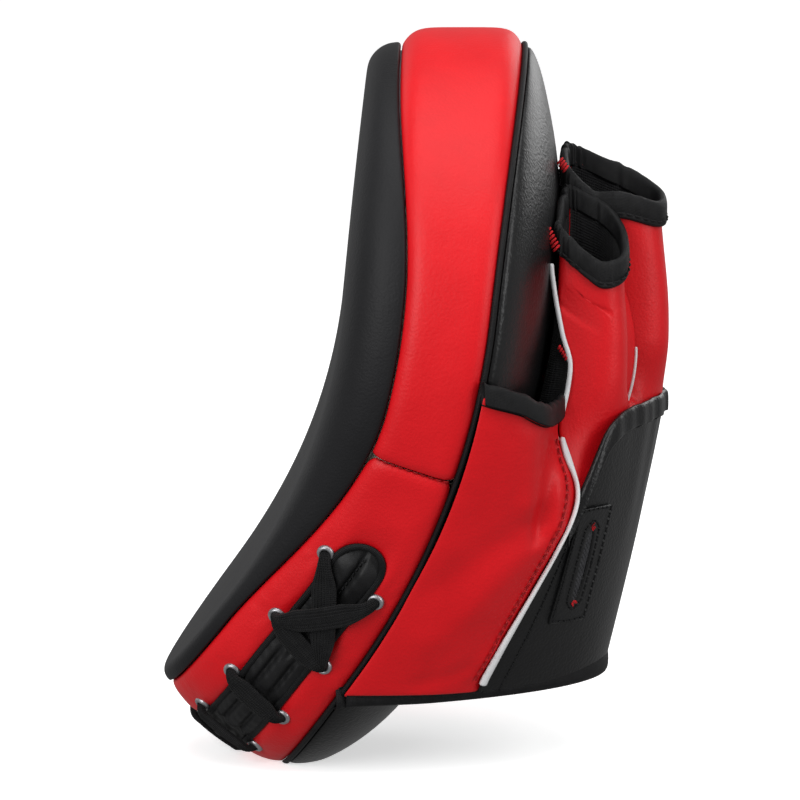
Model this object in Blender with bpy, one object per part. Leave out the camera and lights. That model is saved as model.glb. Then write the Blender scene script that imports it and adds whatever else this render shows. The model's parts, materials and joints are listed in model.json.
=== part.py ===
"""Focus mitt (hand-held boxing target), right hand, as an assembly of separate pieces.

Frame: metres, +Z up along the fingers, strike face towards -Y, back of the hand towards +Y,
thumb towards +X. The origin is at the middle of the hand pocket.

The pad is laid out flat first: u runs across it, v runs along the strike face from the top
edge, and w runs through its thickness from the strike face. pad_point() bends that flat
layout into the pad's curve. The glove on its back is laid out on arches: t is the angle
round the hand and z is the height.
"""

import math

import bmesh
import bpy
from mathutils import Matrix, Vector

# Overall sizes of the pad
PAD_LENGTH = 0.2435
PAD_TOP_RADIUS = 0.095
PAD_BOTTOM_RADIUS = 0.058
PAD_THICKNESS_MIDDLE = 0.048
PAD_THICKNESS_ENDS = 0.053
PAD_TOP_Y = -0.0552
PAD_TOP_Z = 0.1845

# Curve of the strike face, seen from the side
LEAN = math.radians(5.3)
STRAIGHT_TOP = 0.087
BEND_RADIUS = 0.200
BEND_ANGLE = math.radians(32.2)
LEVEL_REACH = 0.025

# How far the strike face cover reaches round onto the side
WRAP_TOP = 0.011
WRAP_SIDE = 0.0195
WRAP_BOTTOM = 0.0052
WRAP_RISE_END = 0.085
WRAP_FALL_START_RISE = 0.1235
WRAP_FALL_END_RISE = 0.0385
WRAP_FALL_START = PAD_LENGTH - WRAP_FALL_START_RISE
WRAP_FALL_END = PAD_LENGTH - WRAP_FALL_END_RISE
EDGE_ROUND_SHARE = 0.8

# Layers of the pad
COVER_THICKNESS = 0.0016
IMPACT_FOAM_BACK = 0.0166
BOARD_THICKNESS = 0.0020
BOARD_DEPTH = 0.0394
BOARD_INSET = 0.0045
DOME_RISE = 0.0230
DOME_FULLNESS = 0.7
SEAM_CORD_RADIUS = 0.0012
SEAM_CORD_SINK = 0.0004
CROSS_SEAM_RISE = 0.1100
CROSS_SEAM_V = PAD_LENGTH - CROSS_SEAM_RISE
SEAM_CLEARANCE = 0.0008

# Lace slot round the bottom of the lower gusset
SLOT_END = 0.122
SLOT_HALF_WIDTH = 0.0088
SLOT_BINDING_WIDTH = 0.0024
SLOT_BINDING_PROUD = 0.0008
SLOT_CLEARANCE = 0.0006
SLOT_END_FLAT = 0.3
SEAM_STEP = 0.008
TONGUE_OVERLAP = 0.0017
TONGUE_HALF_WIDTH = SLOT_HALF_WIDTH + TONGUE_OVERLAP
TONGUE_THICKNESS = 0.0033
TONGUE_PROUD = 0.0008
TONGUE_FADE = 0.012
TONGUE_FLAT = 0.7
EYELET_PITCH = 0.0275
EYELET_MARGIN = 0.0032
EYELET_OFFSET = SLOT_HALF_WIDTH + EYELET_MARGIN
EYELET_STAGGER = 0.0032
EYELET_RADIUS = 0.0030
EYELET_HOLE_RADIUS = 0.0015
EYELET_HEIGHT = 0.0012
LACE_WIDTH = 0.0080
LACE_THICKNESS = 0.0012
LACE_ROWS = 4
LACE_CROSSING_FIRST_ROW = 3.75
LACE_CROSSING_LAST_ROW = 3.05

# Glove
GLOVE_INSET = 0.0025
GLOVE_WALL = 0.0018
HEM_BOTTOM_Z = -0.0425
HEM_HEIGHT = 0.0080
KNUCKLE_Z = 0.0585
BACK_OF_HAND_HEM_HEIGHT = 0.0085
HAND_BACK_TOP_Y = 0.0465
HAND_BACK_SLOPE = 0.0220
HAND_BACK_SLOPE_POWER = 1.15
ARCH_POWER_HEM = 2.0
ARCH_POWER_KNUCKLE = 1.45
PANEL_EDGE_HEM = math.radians(24.0)
PANEL_EDGE_KNUCKLE = math.radians(41.0)
BINDING_PROUD = 0.0009
THUMB_BINDING_HEIGHT = 0.0090
THUMB_OPENING_CLEARANCE = 0.0020
PIPING_RADIUS = 0.0011
PIPING_CLEARANCE = 0.0009
LINING_THICKNESS = 0.0010
LINING_REACH = 0.72

# Finger sleeves: middle of each across the hand, its outer face and its rim
FINGER_PITCH = 0.0256
SLEEVE_WALL = 0.0018
SLEEVE_POWER = 2.6
SLEEVE_BINDING_HEIGHT = 0.0092
SLEEVES = {
    "index": {"slot": 1.5, "outer": 0.0290, "swell": 0.0020, "rim": 0.1330},
    "middle": {"slot": 0.5, "outer": 0.0415, "swell": 0.0055, "rim": 0.1460},
    "ring": {"slot": -0.5, "outer": 0.0395, "swell": 0.0055, "rim": 0.1390},
    "little": {"slot": -1.5, "outer": 0.0270, "swell": 0.0020, "rim": 0.1230},
}
RIM_FALL = {"index": (0.60, 0.50), "middle": (0.30, 0.42), "ring": (0.30, 0.42), "little": (0.60, 0.50)}

# Wrist strap, through a slot near each side of the back-of-hand panel
STRAP_WIDTH = 0.0250
STRAP_THICKNESS = 0.0014
STRAP_Z = 0.0055
STRAP_ANGLE = math.radians(47.0)
STRAP_SLOT_HALF_ANGLE = math.radians(2.6)
STRAP_SLOT_CLEARANCE = 0.0010
STRAP_CLEARANCE = 0.0008
PATCH_MARGIN_Z = 0.0075
PATCH_MARGIN_ANGLE = math.radians(4.6)
PATCH_THICKNESS = 0.0010
TAIL_END_ANGLE = math.radians(12.0)
FASTENER_THICKNESS = 0.0012
FASTENER_START_ANGLE = math.radians(30.0)

GAP = 0.0003
SHARP_ANGLE = math.radians(35.0)

COLOURS = {
    "red_leather": ((0.66, 0.012, 0.02), 0.38, 0.0),
    "black_leather": ((0.012, 0.012, 0.013), 0.45, 0.0),
    "matte_black": ((0.018, 0.018, 0.019), 0.6, 0.0),
    "binding": ((0.014, 0.014, 0.016), 0.75, 0.0),
    "white": ((0.80, 0.80, 0.80), 0.4, 0.0),
    "foam": ((0.30, 0.31, 0.33), 0.9, 0.0),
    "soft_foam": ((0.62, 0.60, 0.52), 0.9, 0.0),
    "board": ((0.36, 0.25, 0.15), 0.7, 0.0),
    "steel": ((0.42, 0.42, 0.43), 0.35, 1.0),
    "webbing": ((0.05, 0.05, 0.055), 0.85, 0.0),
    "lining": ((0.03, 0.03, 0.033), 0.9, 0.0),
    "fastener": ((0.02, 0.02, 0.02), 0.95, 0.0),
}


def smooth(x):
    """0 below 0, 1 above 1, and a smooth rise between."""
    x = min(max(x, 0.0), 1.0)
    return x * x * (3.0 - 2.0 * x)


def spread(first, last, count):
    """count + 1 evenly spaced values from first to last."""
    return [first + (last - first) * k / count for k in range(count + 1)]


# ---------------------------------------------------------------- objects


def clear_scene():
    for obj in list(bpy.data.objects):
        bpy.data.objects.remove(obj, do_unlink=True)


def material(name):
    found = bpy.data.materials.get(name)
    if found:
        return found
    colour, roughness, metallic = COLOURS[name]
    made = bpy.data.materials.new(name)
    made.use_nodes = True
    shader = made.node_tree.nodes["Principled BSDF"]
    shader.inputs["Base Color"].default_value = (*colour, 1.0)
    shader.inputs["Roughness"].default_value = roughness
    shader.inputs["Metallic"].default_value = metallic
    return made


def solid(name, points, faces, look):
    """An object from points and faces, with every face turned outwards."""
    mesh = bpy.data.meshes.new(name)
    work = bmesh.new()
    verts = [work.verts.new(p) for p in points]
    for face in faces:
        work.faces.new([verts[k] for k in face])
    bmesh.ops.recalc_face_normals(work, faces=work.faces)
    if work.calc_volume(signed=True) < 0.0:
        bmesh.ops.reverse_faces(work, faces=work.faces)
    work.to_mesh(mesh)
    work.free()
    mesh.materials.append(material(look))
    mesh.shade_smooth()
    mesh.set_sharp_from_angle(angle=SHARP_ANGLE)
    obj = bpy.data.objects.new(name, mesh)
    bpy.context.scene.collection.objects.link(obj)
    return obj


def shell(name, outer, inner, look, keep=None, loop=False):
    """A closed solid between two grids of points; keep(i, j) says which cells are there."""
    rows = len(outer)
    columns = len(outer[0])
    cells = columns if loop else columns - 1

    def present(i, j):
        if i < 0 or i >= rows - 1:
            return False
        if loop:
            j = j % cells
        elif j < 0 or j >= cells:
            return False
        return keep is None or keep(i, j)

    used = {}
    points = []

    def corner(side, i, j):
        key = (side, i, j % columns)
        if key not in used:
            used[key] = len(points)
            points.append((outer, inner)[side][i][j % columns])
        return used[key]

    faces = []
    for i in range(rows - 1):
        for j in range(cells):
            if not present(i, j):
                continue
            ring = [(i, j), (i, j + 1), (i + 1, j + 1), (i + 1, j)]
            faces.append([corner(0, *c) for c in ring])
            faces.append([corner(1, *c) for c in reversed(ring)])
            neighbours = [(i - 1, j), (i, j + 1), (i + 1, j), (i, j - 1)]
            for k, other in enumerate(neighbours):
                if not present(*other):
                    a = ring[k]
                    b = ring[(k + 1) % 4]
                    faces.append([corner(0, *b), corner(0, *a), corner(1, *a), corner(1, *b)])
    return solid(name, points, faces, look)


def tube(name, path, radius, look, sides=6, loop=False):
    """A round cord along a path of points."""
    rings = []
    count = len(path)
    for k, point in enumerate(path):
        if loop:
            along = path[(k + 1) % count] - path[k - 1]
        else:
            along = path[min(k + 1, count - 1)] - path[max(k - 1, 0)]
        along.normalize()
        side = along.cross(Vector((0.0, 0.3, 1.0)))
        if side.length < 0.2:
            side = along.cross(Vector((1.0, 0.0, 0.0)))
        side.normalize()
        up = side.cross(along)
        angles = [2.0 * math.pi * n / sides for n in range(sides)]
        rings.append([point + radius * (math.cos(a) * side + math.sin(a) * up) for a in angles])
    points = [p for ring in rings for p in ring]
    faces = []
    for k in range(count if loop else count - 1):
        after = (k + 1) % count
        for n in range(sides):
            m = (n + 1) % sides
            faces.append([k * sides + n, k * sides + m, after * sides + m, after * sides + n])
    if not loop:
        faces.append(list(range(sides)))
        faces.append([(count - 1) * sides + n for n in reversed(range(sides))])
    return solid(name, points, faces, look)


# ---------------------------------------------------------------- the pad's layout


def spine(v):
    """(y, z, angle) of the strike face at distance v from the top."""
    v_arc = min(max(v - STRAIGHT_TOP, 0.0), BEND_RADIUS * BEND_ANGLE)
    angle = LEAN + v_arc / BEND_RADIUS
    start = v if v < STRAIGHT_TOP else STRAIGHT_TOP
    y = PAD_TOP_Y - start * math.sin(LEAN)
    z = PAD_TOP_Z - start * math.cos(LEAN)
    y += BEND_RADIUS * (math.cos(angle) - math.cos(LEAN))
    z -= BEND_RADIUS * (math.sin(angle) - math.sin(LEAN))
    rest = max(v - STRAIGHT_TOP - BEND_RADIUS * BEND_ANGLE, 0.0)
    return y - rest * math.sin(angle), z - rest * math.cos(angle), angle


def pad_point(u, v, w):
    """The flat layout bent into the pad's curve, sheared near the top so that the top is level."""
    v -= w * math.tan(LEAN) * (1.0 - smooth(v / LEVEL_REACH))
    y, z, angle = spine(v)
    return Vector((u, y + w * math.cos(angle), z - w * math.sin(angle)))


def thickness(v):
    """Depth of the back seam behind the strike face."""
    swell = (2.0 * v / PAD_LENGTH - 1.0) ** 2
    return PAD_THICKNESS_MIDDLE + (PAD_THICKNESS_ENDS - PAD_THICKNESS_MIDDLE) * swell


def wrap(v):
    """Depth of the seam between the strike face cover and the gusset."""
    rise = smooth(v / WRAP_RISE_END)
    fall = smooth((v - WRAP_FALL_START) / (WRAP_FALL_END - WRAP_FALL_START))
    return WRAP_TOP + (WRAP_SIDE - WRAP_TOP) * rise - (WRAP_SIDE - WRAP_BOTTOM) * fall


def slot_depth(v):
    """Depth of the lace slot's middle line."""
    return (wrap(v) + thickness(v)) / 2.0


# The outline is a large circle above and a small one below, joined by their tangents.
TOP_CENTRE = PAD_TOP_RADIUS
BOTTOM_CENTRE = PAD_LENGTH - PAD_BOTTOM_RADIUS
TAPER = math.asin((PAD_TOP_RADIUS - PAD_BOTTOM_RADIUS) / (BOTTOM_CENTRE - TOP_CENTRE))
BOTTOM_ARC = PAD_BOTTOM_RADIUS * (math.pi / 2.0 - TAPER)
STRAIGHT_SIDE = (BOTTOM_CENTRE - TOP_CENTRE) * math.cos(TAPER)
TOP_ARC = PAD_TOP_RADIUS * (math.pi / 2.0 + TAPER)
HALF_OUTLINE = BOTTOM_ARC + STRAIGHT_SIDE + TOP_ARC


def outline(s):
    """Outline at distance s from the bottom middle, positive towards the thumb.

    Gives the radius, the centre it belongs to and the outward direction (sideways, down).
    """
    side = 1.0 if s >= 0.0 else -1.0
    s = abs(s)
    if s > HALF_OUTLINE:
        side = -side
        s = 2.0 * HALF_OUTLINE - s
    if s <= BOTTOM_ARC:
        angle = s / PAD_BOTTOM_RADIUS
        radius = PAD_BOTTOM_RADIUS
        centre = BOTTOM_CENTRE
    elif s <= BOTTOM_ARC + STRAIGHT_SIDE:
        share = (s - BOTTOM_ARC) / STRAIGHT_SIDE
        angle = math.pi / 2.0 - TAPER
        radius = PAD_BOTTOM_RADIUS + (PAD_TOP_RADIUS - PAD_BOTTOM_RADIUS) * share
        centre = BOTTOM_CENTRE + (TOP_CENTRE - BOTTOM_CENTRE) * share
    else:
        angle = math.pi / 2.0 - TAPER + (s - BOTTOM_ARC - STRAIGHT_SIDE) / PAD_TOP_RADIUS
        radius = PAD_TOP_RADIUS
        centre = TOP_CENTRE
    return radius, centre, side * math.sin(angle), math.cos(angle)


def edge_point(s, inset, depth):
    """A point near the pad's edge; depth is a number or a function of v at the edge."""
    radius, centre, across, down = outline(s)
    v_edge = centre + radius * down
    w = depth(v_edge) if callable(depth) else depth
    return pad_point((radius - inset) * across, centre + (radius - inset) * down, w)


def edge_v(s):
    radius, centre, _, down = outline(s)
    return centre + radius * down


def side_s(v):
    """Distance along the outline of the point on the straight side at v."""
    tangent_v = BOTTOM_CENTRE + PAD_BOTTOM_RADIUS * math.sin(TAPER)
    return BOTTOM_ARC + (tangent_v - v) / math.cos(TAPER)


def half_width(v):
    """Half of the pad's width at v."""
    low = 0.0
    high = HALF_OUTLINE
    for _ in range(40):
        middle = (low + high) / 2.0
        if edge_v(middle) > v:
            low = middle
        else:
            high = middle
    radius, _, across, _ = outline(low)
    return radius * across


def ring_stations():
    """Symmetric distances along the outline, from the bottom middle all the way round."""
    half = spread(0.0, BOTTOM_ARC, 7)[:-1]
    half += spread(BOTTOM_ARC, BOTTOM_ARC + STRAIGHT_SIDE, 8)[:-1]
    half += spread(BOTTOM_ARC + STRAIGHT_SIDE, HALF_OUTLINE, 13)
    return half + [2.0 * HALF_OUTLINE - s for s in reversed(half[1:-1])]


def layered(name, rings, look):
    """A closed solid through rings of points, capped straight across at both ends."""
    count = len(rings[0])
    half = count // 2
    points = [p for ring in rings for p in ring]
    faces = []
    for r in range(len(rings) - 1):
        for k in range(count):
            m = (k + 1) % count
            faces.append([r * count + k, r * count + m, (r + 1) * count + m, (r + 1) * count + k])
    for base in (0, (len(rings) - 1) * count):
        faces.append([base, base + 1, base + count - 1])
        for k in range(1, half - 1):
            faces.append([base + k, base + k + 1, base + count - k - 1, base + count - k])
        faces.append([base + half - 1, base + half, base + half + 1])
    return solid(name, points, faces, look)


def pad_ring(inset, depth):
    """One ring round the pad; inset is a number or a function of s."""
    ring = []
    for s in ring_stations():
        d = inset(s) if callable(inset) else inset
        ring.append(edge_point(s, d, depth))
    return ring


def rounded_edge(offset, share):
    """(inset, depth) functions on the rounded front edge, share 0 at the face to 1 at the side."""
    turn = share * math.pi / 2.0

    def depth(v):
        radius = EDGE_ROUND_SHARE * wrap(v)
        return radius - (radius - offset) * math.cos(turn)

    def inset(s):
        radius = EDGE_ROUND_SHARE * wrap(edge_v(s))
        return radius - (radius - offset) * math.sin(turn)

    return inset, depth


# ---------------------------------------------------------------- the pad's pieces


EDGE_SHARES = (0.0, 0.35, 0.7, 1.0)


def make_strike_cover():
    """A tray of leather: its inner face, the rim at the gusset's seam and its outer face."""
    rings = [pad_ring(*rounded_edge(COVER_THICKNESS, share)) for share in EDGE_SHARES]
    rings.append(pad_ring(COVER_THICKNESS, wrap))
    rings.append(pad_ring(0.0, wrap))
    rings += [pad_ring(*rounded_edge(0.0, share)) for share in reversed(EDGE_SHARES)]
    layered("strike_face_cover", rings, "matte_black")


def make_impact_foam():
    inner = COVER_THICKNESS + GAP
    rings = [pad_ring(*rounded_edge(inner, share)) for share in EDGE_SHARES]
    rings.append(pad_ring(inner, IMPACT_FOAM_BACK))
    layered("impact_foam", rings, "foam")


def behind_tongue(plain):
    """An inset that is cut back where the lace tongue lies."""
    cut_back = COVER_THICKNESS + TONGUE_THICKNESS + 3.0 * GAP

    def inset(s):
        reach = abs(s) if s <= HALF_OUTLINE else 2.0 * HALF_OUTLINE - s
        return max(plain, cut_back) if reach < SLOT_END + 2.0 * TONGUE_FADE else plain

    return inset


def make_core_foam():
    inset = behind_tongue(COVER_THICKNESS + GAP)
    front = pad_ring(inset, IMPACT_FOAM_BACK + GAP)
    back = pad_ring(inset, BOARD_DEPTH - GAP)
    layered("core_foam", [front, back], "soft_foam")


def make_board():
    inset = behind_tongue(BOARD_INSET)
    front = pad_ring(inset, BOARD_DEPTH)
    back = pad_ring(inset, BOARD_DEPTH + BOARD_THICKNESS)
    layered("stiffener_board", [front, back], "board")


def dome_depth(share, v):
    """Depth of the domed back's outer face, share 1 at the edge and 0 on the middle line."""
    rise = max(1.0 - share * share, 0.0) ** DOME_FULLNESS
    return thickness(v) + SEAM_CORD_RADIUS + GAP + DOME_RISE * rise


def dome_point(s, share, offset):
    """A point on the domed back, or on a face that lies an offset below it."""
    radius, centre, across, down = outline(s)
    reach = (radius - offset) * share
    v = centre + reach * down
    return pad_point(reach * across, v, dome_depth(share, v) - offset)


def dome_share(u, v):
    """Which ring of the dome passes through a place on the pad."""
    u = abs(u)
    centre = v - u * math.tan(TAPER)
    if centre < TOP_CENTRE:
        return math.hypot(u, v - TOP_CENTRE) / PAD_TOP_RADIUS
    if centre > BOTTOM_CENTRE:
        return math.hypot(u, v - BOTTOM_CENTRE) / PAD_BOTTOM_RADIUS
    part = (centre - TOP_CENTRE) / (BOTTOM_CENTRE - TOP_CENTRE)
    radius = PAD_TOP_RADIUS + (PAD_BOTTOM_RADIUS - PAD_TOP_RADIUS) * part
    return u / (radius * math.cos(TAPER))


DOME_SHARES = (1.0, 0.975, 0.92, 0.82, 0.66, 0.46, 0.2)


def dome_ring(share, offset):
    return [dome_point(s, share, offset) for s in ring_stations()]


def make_back_cover():
    """A domed sheet whose edge turns in beside the seam cord."""
    edge = SEAM_CORD_SINK + SEAM_CORD_RADIUS + GAP

    def face(v):
        return thickness(v) + SEAM_CORD_RADIUS + GAP

    def under(v):
        return face(v) - COVER_THICKNESS

    rings = [dome_ring(share, 0.0) for share in reversed(DOME_SHARES)]
    rings.append(pad_ring(edge, face))
    rings.append(pad_ring(edge, under))
    rings.append(pad_ring(2.0 * COVER_THICKNESS + SEAM_CORD_RADIUS, under))
    rings += [dome_ring(share, COVER_THICKNESS) for share in DOME_SHARES[1:]]
    layered("back_cover", rings, "black_leather")


def make_palm_foam():
    under = COVER_THICKNESS + GAP
    shares = DOME_SHARES[2:]
    front_depth = BOARD_DEPTH + BOARD_THICKNESS + GAP
    edge = behind_tongue(2.0 * COVER_THICKNESS + SEAM_CORD_RADIUS + 2.0 * GAP)
    rings = [pad_ring(edge, front_depth)]
    rings.append(pad_ring(edge, lambda v: thickness(v) + SEAM_CORD_RADIUS - COVER_THICKNESS - GAP))
    rings += [dome_ring(share, under) for share in shares]
    layered("palm_foam", rings, "soft_foam")


def make_seam_cord():
    path = [edge_point(s, SEAM_CORD_SINK, thickness) for s in ring_stations()]
    tube("back_seam_cord", path, SEAM_CORD_RADIUS, "binding", sides=6, loop=True)


def gusset_depths(v):
    front = wrap(v) + SEAM_CLEARANCE
    back = thickness(v) - SEAM_CORD_RADIUS - GAP
    return front, back


def make_upper_gusset():
    seam_s = side_s(CROSS_SEAM_V) + GAP
    stations = spread(seam_s, 2.0 * HALF_OUTLINE - seam_s, 34)
    outer = []
    inner = []
    for s in stations:
        front, back = gusset_depths(edge_v(s))
        depths = (front, (front + back) / 2.0, back)
        outer.append([edge_point(s, 0.0, w) for w in depths])
        inner.append([edge_point(s, COVER_THICKNESS, w) for w in depths])
    shell("gusset_upper", outer, inner, "red_leather")


def slot_stations(last):
    """Distances along one side, with extra ones where the slot's end is round."""
    straight_end = SLOT_END - SLOT_HALF_WIDTH
    turns = [straight_end + SLOT_HALF_WIDTH * math.sin(math.radians(a)) for a in (30.0, 55.0, 75.0)]
    half = spread(0.0, straight_end, 12) + turns
    past_end = SLOT_END + SLOT_CLEARANCE
    half += spread(past_end, last, max(1, math.ceil((last - past_end) / SEAM_STEP)))
    return [-s for s in reversed(half[1:])] + half


def slot_half(s):
    """Half width of the opening in the gusset."""
    past = max(abs(s) - (SLOT_END - SLOT_HALF_WIDTH), 0.0)
    full = SLOT_HALF_WIDTH + SLOT_CLEARANCE
    return max(math.sqrt(max(full * full - past * past, 0.0)), SLOT_END_FLAT * full)


def make_lower_gusset():
    stations = slot_stations(side_s(CROSS_SEAM_V))
    outer = []
    inner = []
    for s in stations:
        v = edge_v(s)
        front, back = gusset_depths(v)
        middle = slot_depth(v)
        half = slot_half(s)
        depths = (front, middle - half, middle, middle + half, back)
        outer.append([edge_point(s, 0.0, w) for w in depths])
        inner.append([edge_point(s, COVER_THICKNESS, w) for w in depths])
    last = len(stations) - 2

    def keep(i, j):
        return j in (0, 3) or i in (0, last)

    shell("gusset_lower", outer, inner, "red_leather", keep=keep)


def make_slot_binding():
    """A bound edge round the slot, shaped like a running track."""
    outer_half = SLOT_HALF_WIDTH - GAP
    inner_half = outer_half - SLOT_BINDING_WIDTH
    straight_end = SLOT_END - SLOT_HALF_WIDTH
    track = []
    for s in spread(-straight_end, straight_end, 24):
        track.append((s, 0.0, 1.0))
    for a in (30.0, 60.0, 90.0, 120.0, 150.0):
        turn = math.radians(a)
        track.append((straight_end, math.sin(turn), math.cos(turn)))
    for s in spread(straight_end, -straight_end, 24):
        track.append((s, 0.0, -1.0))
    for a in (30.0, 60.0, 90.0, 120.0, 150.0):
        turn = math.radians(a)
        track.append((-straight_end, -math.sin(turn), -math.cos(turn)))

    def row(half, inset):
        ring = []
        for s, along, across in track:
            place = s + along * half
            depth = slot_depth(edge_v(place)) + across * half
            ring.append(edge_point(place, inset, depth))
        return ring

    outer = [row(inner_half, -SLOT_BINDING_PROUD), row(outer_half, -SLOT_BINDING_PROUD)]
    inner = [row(inner_half, COVER_THICKNESS), row(outer_half, COVER_THICKNESS)]
    shell("slot_binding", outer, inner, "binding", loop=True)


def make_tongue():
    top = COVER_THICKNESS + GAP
    bottom = top + TONGUE_THICKNESS
    neck = SLOT_HALF_WIDTH - SLOT_BINDING_WIDTH - 3.0 * GAP
    last = SLOT_END + TONGUE_FADE - 4.0 * GAP
    outer = []
    inner = []
    for s in spread(-last, last, 30):
        crown = 1.0 - smooth((abs(s) - (SLOT_END - 2.0 * TONGUE_FADE)) / TONGUE_FADE)
        proud = top - (top + TONGUE_PROUD) * crown
        middle = slot_depth(edge_v(s))
        profile = (
            (-TONGUE_HALF_WIDTH, top),
            (-neck, top),
            (-TONGUE_FLAT * neck, proud),
            (0.0, proud),
            (TONGUE_FLAT * neck, proud),
            (neck, top),
            (TONGUE_HALF_WIDTH, top),
        )
        outer.append([edge_point(s, inset, middle + across) for across, inset in profile])
        inner.append([edge_point(s, bottom, middle + across) for across, _ in profile])
    shell("lace_tongue", outer, inner, "lining")


def surface_frame(s, depth, inset):
    """Place and directions on the gusset: along the outline, across its width, and outwards."""
    step = 0.0005
    place = edge_point(s, inset, depth)
    along = (edge_point(s + step, inset, depth) - edge_point(s - step, inset, depth)).normalized()
    across = (edge_point(s, inset, depth + step) - place).normalized()
    return place, along, across, across.cross(along).normalized()


def make_eyelets():
    profile = (
        (EYELET_HOLE_RADIUS, 0.0),
        (EYELET_RADIUS, 0.0),
        (0.85 * EYELET_RADIUS, EYELET_HEIGHT),
        (EYELET_HOLE_RADIUS, 0.8 * EYELET_HEIGHT),
    )
    sides = 10
    for row in range(-LACE_ROWS, LACE_ROWS + 1):
        for edge, across_sign in (("front", -1.0), ("back", 1.0)):
            s = row * (EYELET_PITCH - across_sign * EYELET_STAGGER / LACE_ROWS)
            depth = slot_depth(edge_v(s)) + across_sign * EYELET_OFFSET
            place, along, across, out = surface_frame(s, depth, -GAP)
            if out.dot(place - edge_point(s, 0.01, depth)) < 0.0:
                out = -out
            points = []
            for n in range(sides):
                a = 2.0 * math.pi * n / sides
                spoke = math.cos(a) * along + math.sin(a) * across
                points += [place + r * spoke + h * out for r, h in profile]
            faces = []
            size = len(profile)
            for n in range(sides):
                m = (n + 1) % sides
                for k in range(size):
                    after = (k + 1) % size
                    faces.append([n * size + k, n * size + after, m * size + after, m * size + k])
            side = "near" if row > 0 else "far"
            tag = f"{side}_{abs(row)}" if row else "bottom"
            solid(f"eyelet_{edge}_{tag}", points, faces, "steel")


def lace_run(name, start, end, lift):
    """A flat stretch of lace over the slot, from (s, across) to (s, across)."""
    half_span = SLOT_HALF_WIDTH
    outer = []
    inner = []
    steps = 6
    span = Vector((end[0] - start[0], end[1] - start[1]))
    sideways = Vector((-span.y, span.x)).normalized() * (LACE_WIDTH / 2.0)
    rows = (-1.0, 0.0, 1.0)
    for k in range(steps + 1):
        middle = Vector(start) + span * (k / steps)
        upper = []
        lower = []
        for row in rows:
            s = middle.x + row * sideways.x
            across = max(min(middle.y + row * sideways.y, half_span), -half_span)
            depth = slot_depth(edge_v(s)) + across
            upper.append(edge_point(s, -(lift + LACE_THICKNESS), depth))
            lower.append(edge_point(s, -lift, depth))
        outer.append(upper)
        inner.append(lower)
    return shell(name, outer, inner, "binding")


def unite(target, other):
    """Joins a helper's shape to an object and hides the helper."""
    modifier = target.modifiers.new("join", "BOOLEAN")
    modifier.operation = "UNION"
    modifier.solver = "EXACT"
    modifier.object = other
    other.hide_render = True
    other.display_type = "WIRE"


def make_lace():
    lift = max(SLOT_BINDING_PROUD, TONGUE_PROUD) + GAP
    reach = EYELET_OFFSET - EYELET_RADIUS - GAP
    low = lift + LACE_THICKNESS / 2.0
    for side, sign in (("near", 1.0), ("far", -1.0)):
        first = sign * LACE_CROSSING_FIRST_ROW * EYELET_PITCH
        second = sign * LACE_CROSSING_LAST_ROW * EYELET_PITCH
        crossing = lace_run(f"lace_crossing_{side}", (first, -reach), (second, reach), lift)
        other = lace_run(f"lace_crossing_{side}_helper", (first, reach), (second, -reach), low)
        unite(crossing, other)
        for row in range(LACE_ROWS - 2, 0, -1):
            s = sign * row * EYELET_PITCH
            lace_run(f"lace_bar_{side}_{row}", (s, -reach), (s, reach), lift)
    lace_run("lace_bar_bottom", (0.0, -reach), (0.0, reach), lift)


# ---------------------------------------------------------------- the glove's layout


def v_at(z, depth):
    """Distance v where the surface at depth(v) reaches height z."""
    low = 0.0
    high = PAD_LENGTH
    for _ in range(40):
        middle = (low + high) / 2.0
        if pad_point(0.0, middle, depth(middle)).z > z:
            low = middle
        else:
            high = middle
    return (low + high) / 2.0


def rise_share(z):
    return min(max((z - HEM_BOTTOM_Z) / (KNUCKLE_Z - HEM_BOTTOM_Z), 0.0), 1.0)


def hand_back_y(z):
    """Outermost face of the glove at height z."""
    drop = max(1.0 - rise_share(z), 0.0) ** HAND_BACK_SLOPE_POWER
    return HAND_BACK_TOP_Y - HAND_BACK_SLOPE * drop


ARCH_ROOTS = {}


def arch_root(z):
    """Half width of the glove at height z, and where its edge stands clear of the dome."""
    if z not in ARCH_ROOTS:
        half = half_width(v_at(z, thickness)) - GLOVE_INSET
        inner_x = half - GLOVE_WALL - BINDING_PROUD
        ARCH_ROOTS[z] = (half, dome_y(inner_x, z, 2.0 * GAP))
    return ARCH_ROOTS[z]


def arch(t, z, offset):
    """The glove's outer surface at angle t round the hand, 0 at the thumb side's seam."""
    half, base = arch_root(z)
    half += offset
    depth = hand_back_y(z) - base + offset
    power = ARCH_POWER_HEM + (ARCH_POWER_KNUCKLE - ARCH_POWER_HEM) * rise_share(z)
    c = math.cos(t)
    x = half * math.copysign(abs(c) ** (2.0 / power), c)
    return Vector((x, base + depth * max(math.sin(t), 0.0) ** (2.0 / power), z))


def panel_edge(z):
    """Angle where the side panel meets the back-of-hand panel."""
    return PANEL_EDGE_HEM + (PANEL_EDGE_KNUCKLE - PANEL_EDGE_HEM) * rise_share(z)


def arch_shell(name, angles, heights, offset, wall, look, keep=None):
    """A shell on the arch; angles is a function of z giving the list of angles."""
    outer = []
    inner = []
    for z in heights:
        outer.append([arch(t, z, offset) for t in angles(z)])
        inner.append([arch(t, z, offset - wall) for t in angles(z)])
    return shell(name, outer, inner, look, keep=keep)


def angle_gap(z, distance):
    """Angle that covers a distance along the arch at the panel's edge."""
    t = panel_edge(z)
    step = 0.01
    return distance * step / (arch(t + step, z, 0.0) - arch(t, z, 0.0)).length


PANEL_BOTTOM_Z = HEM_BOTTOM_Z + HEM_HEIGHT + GAP
STRAP_LOW = STRAP_Z - STRAP_WIDTH / 2.0
STRAP_HIGH = STRAP_Z + STRAP_WIDTH / 2.0


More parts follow.
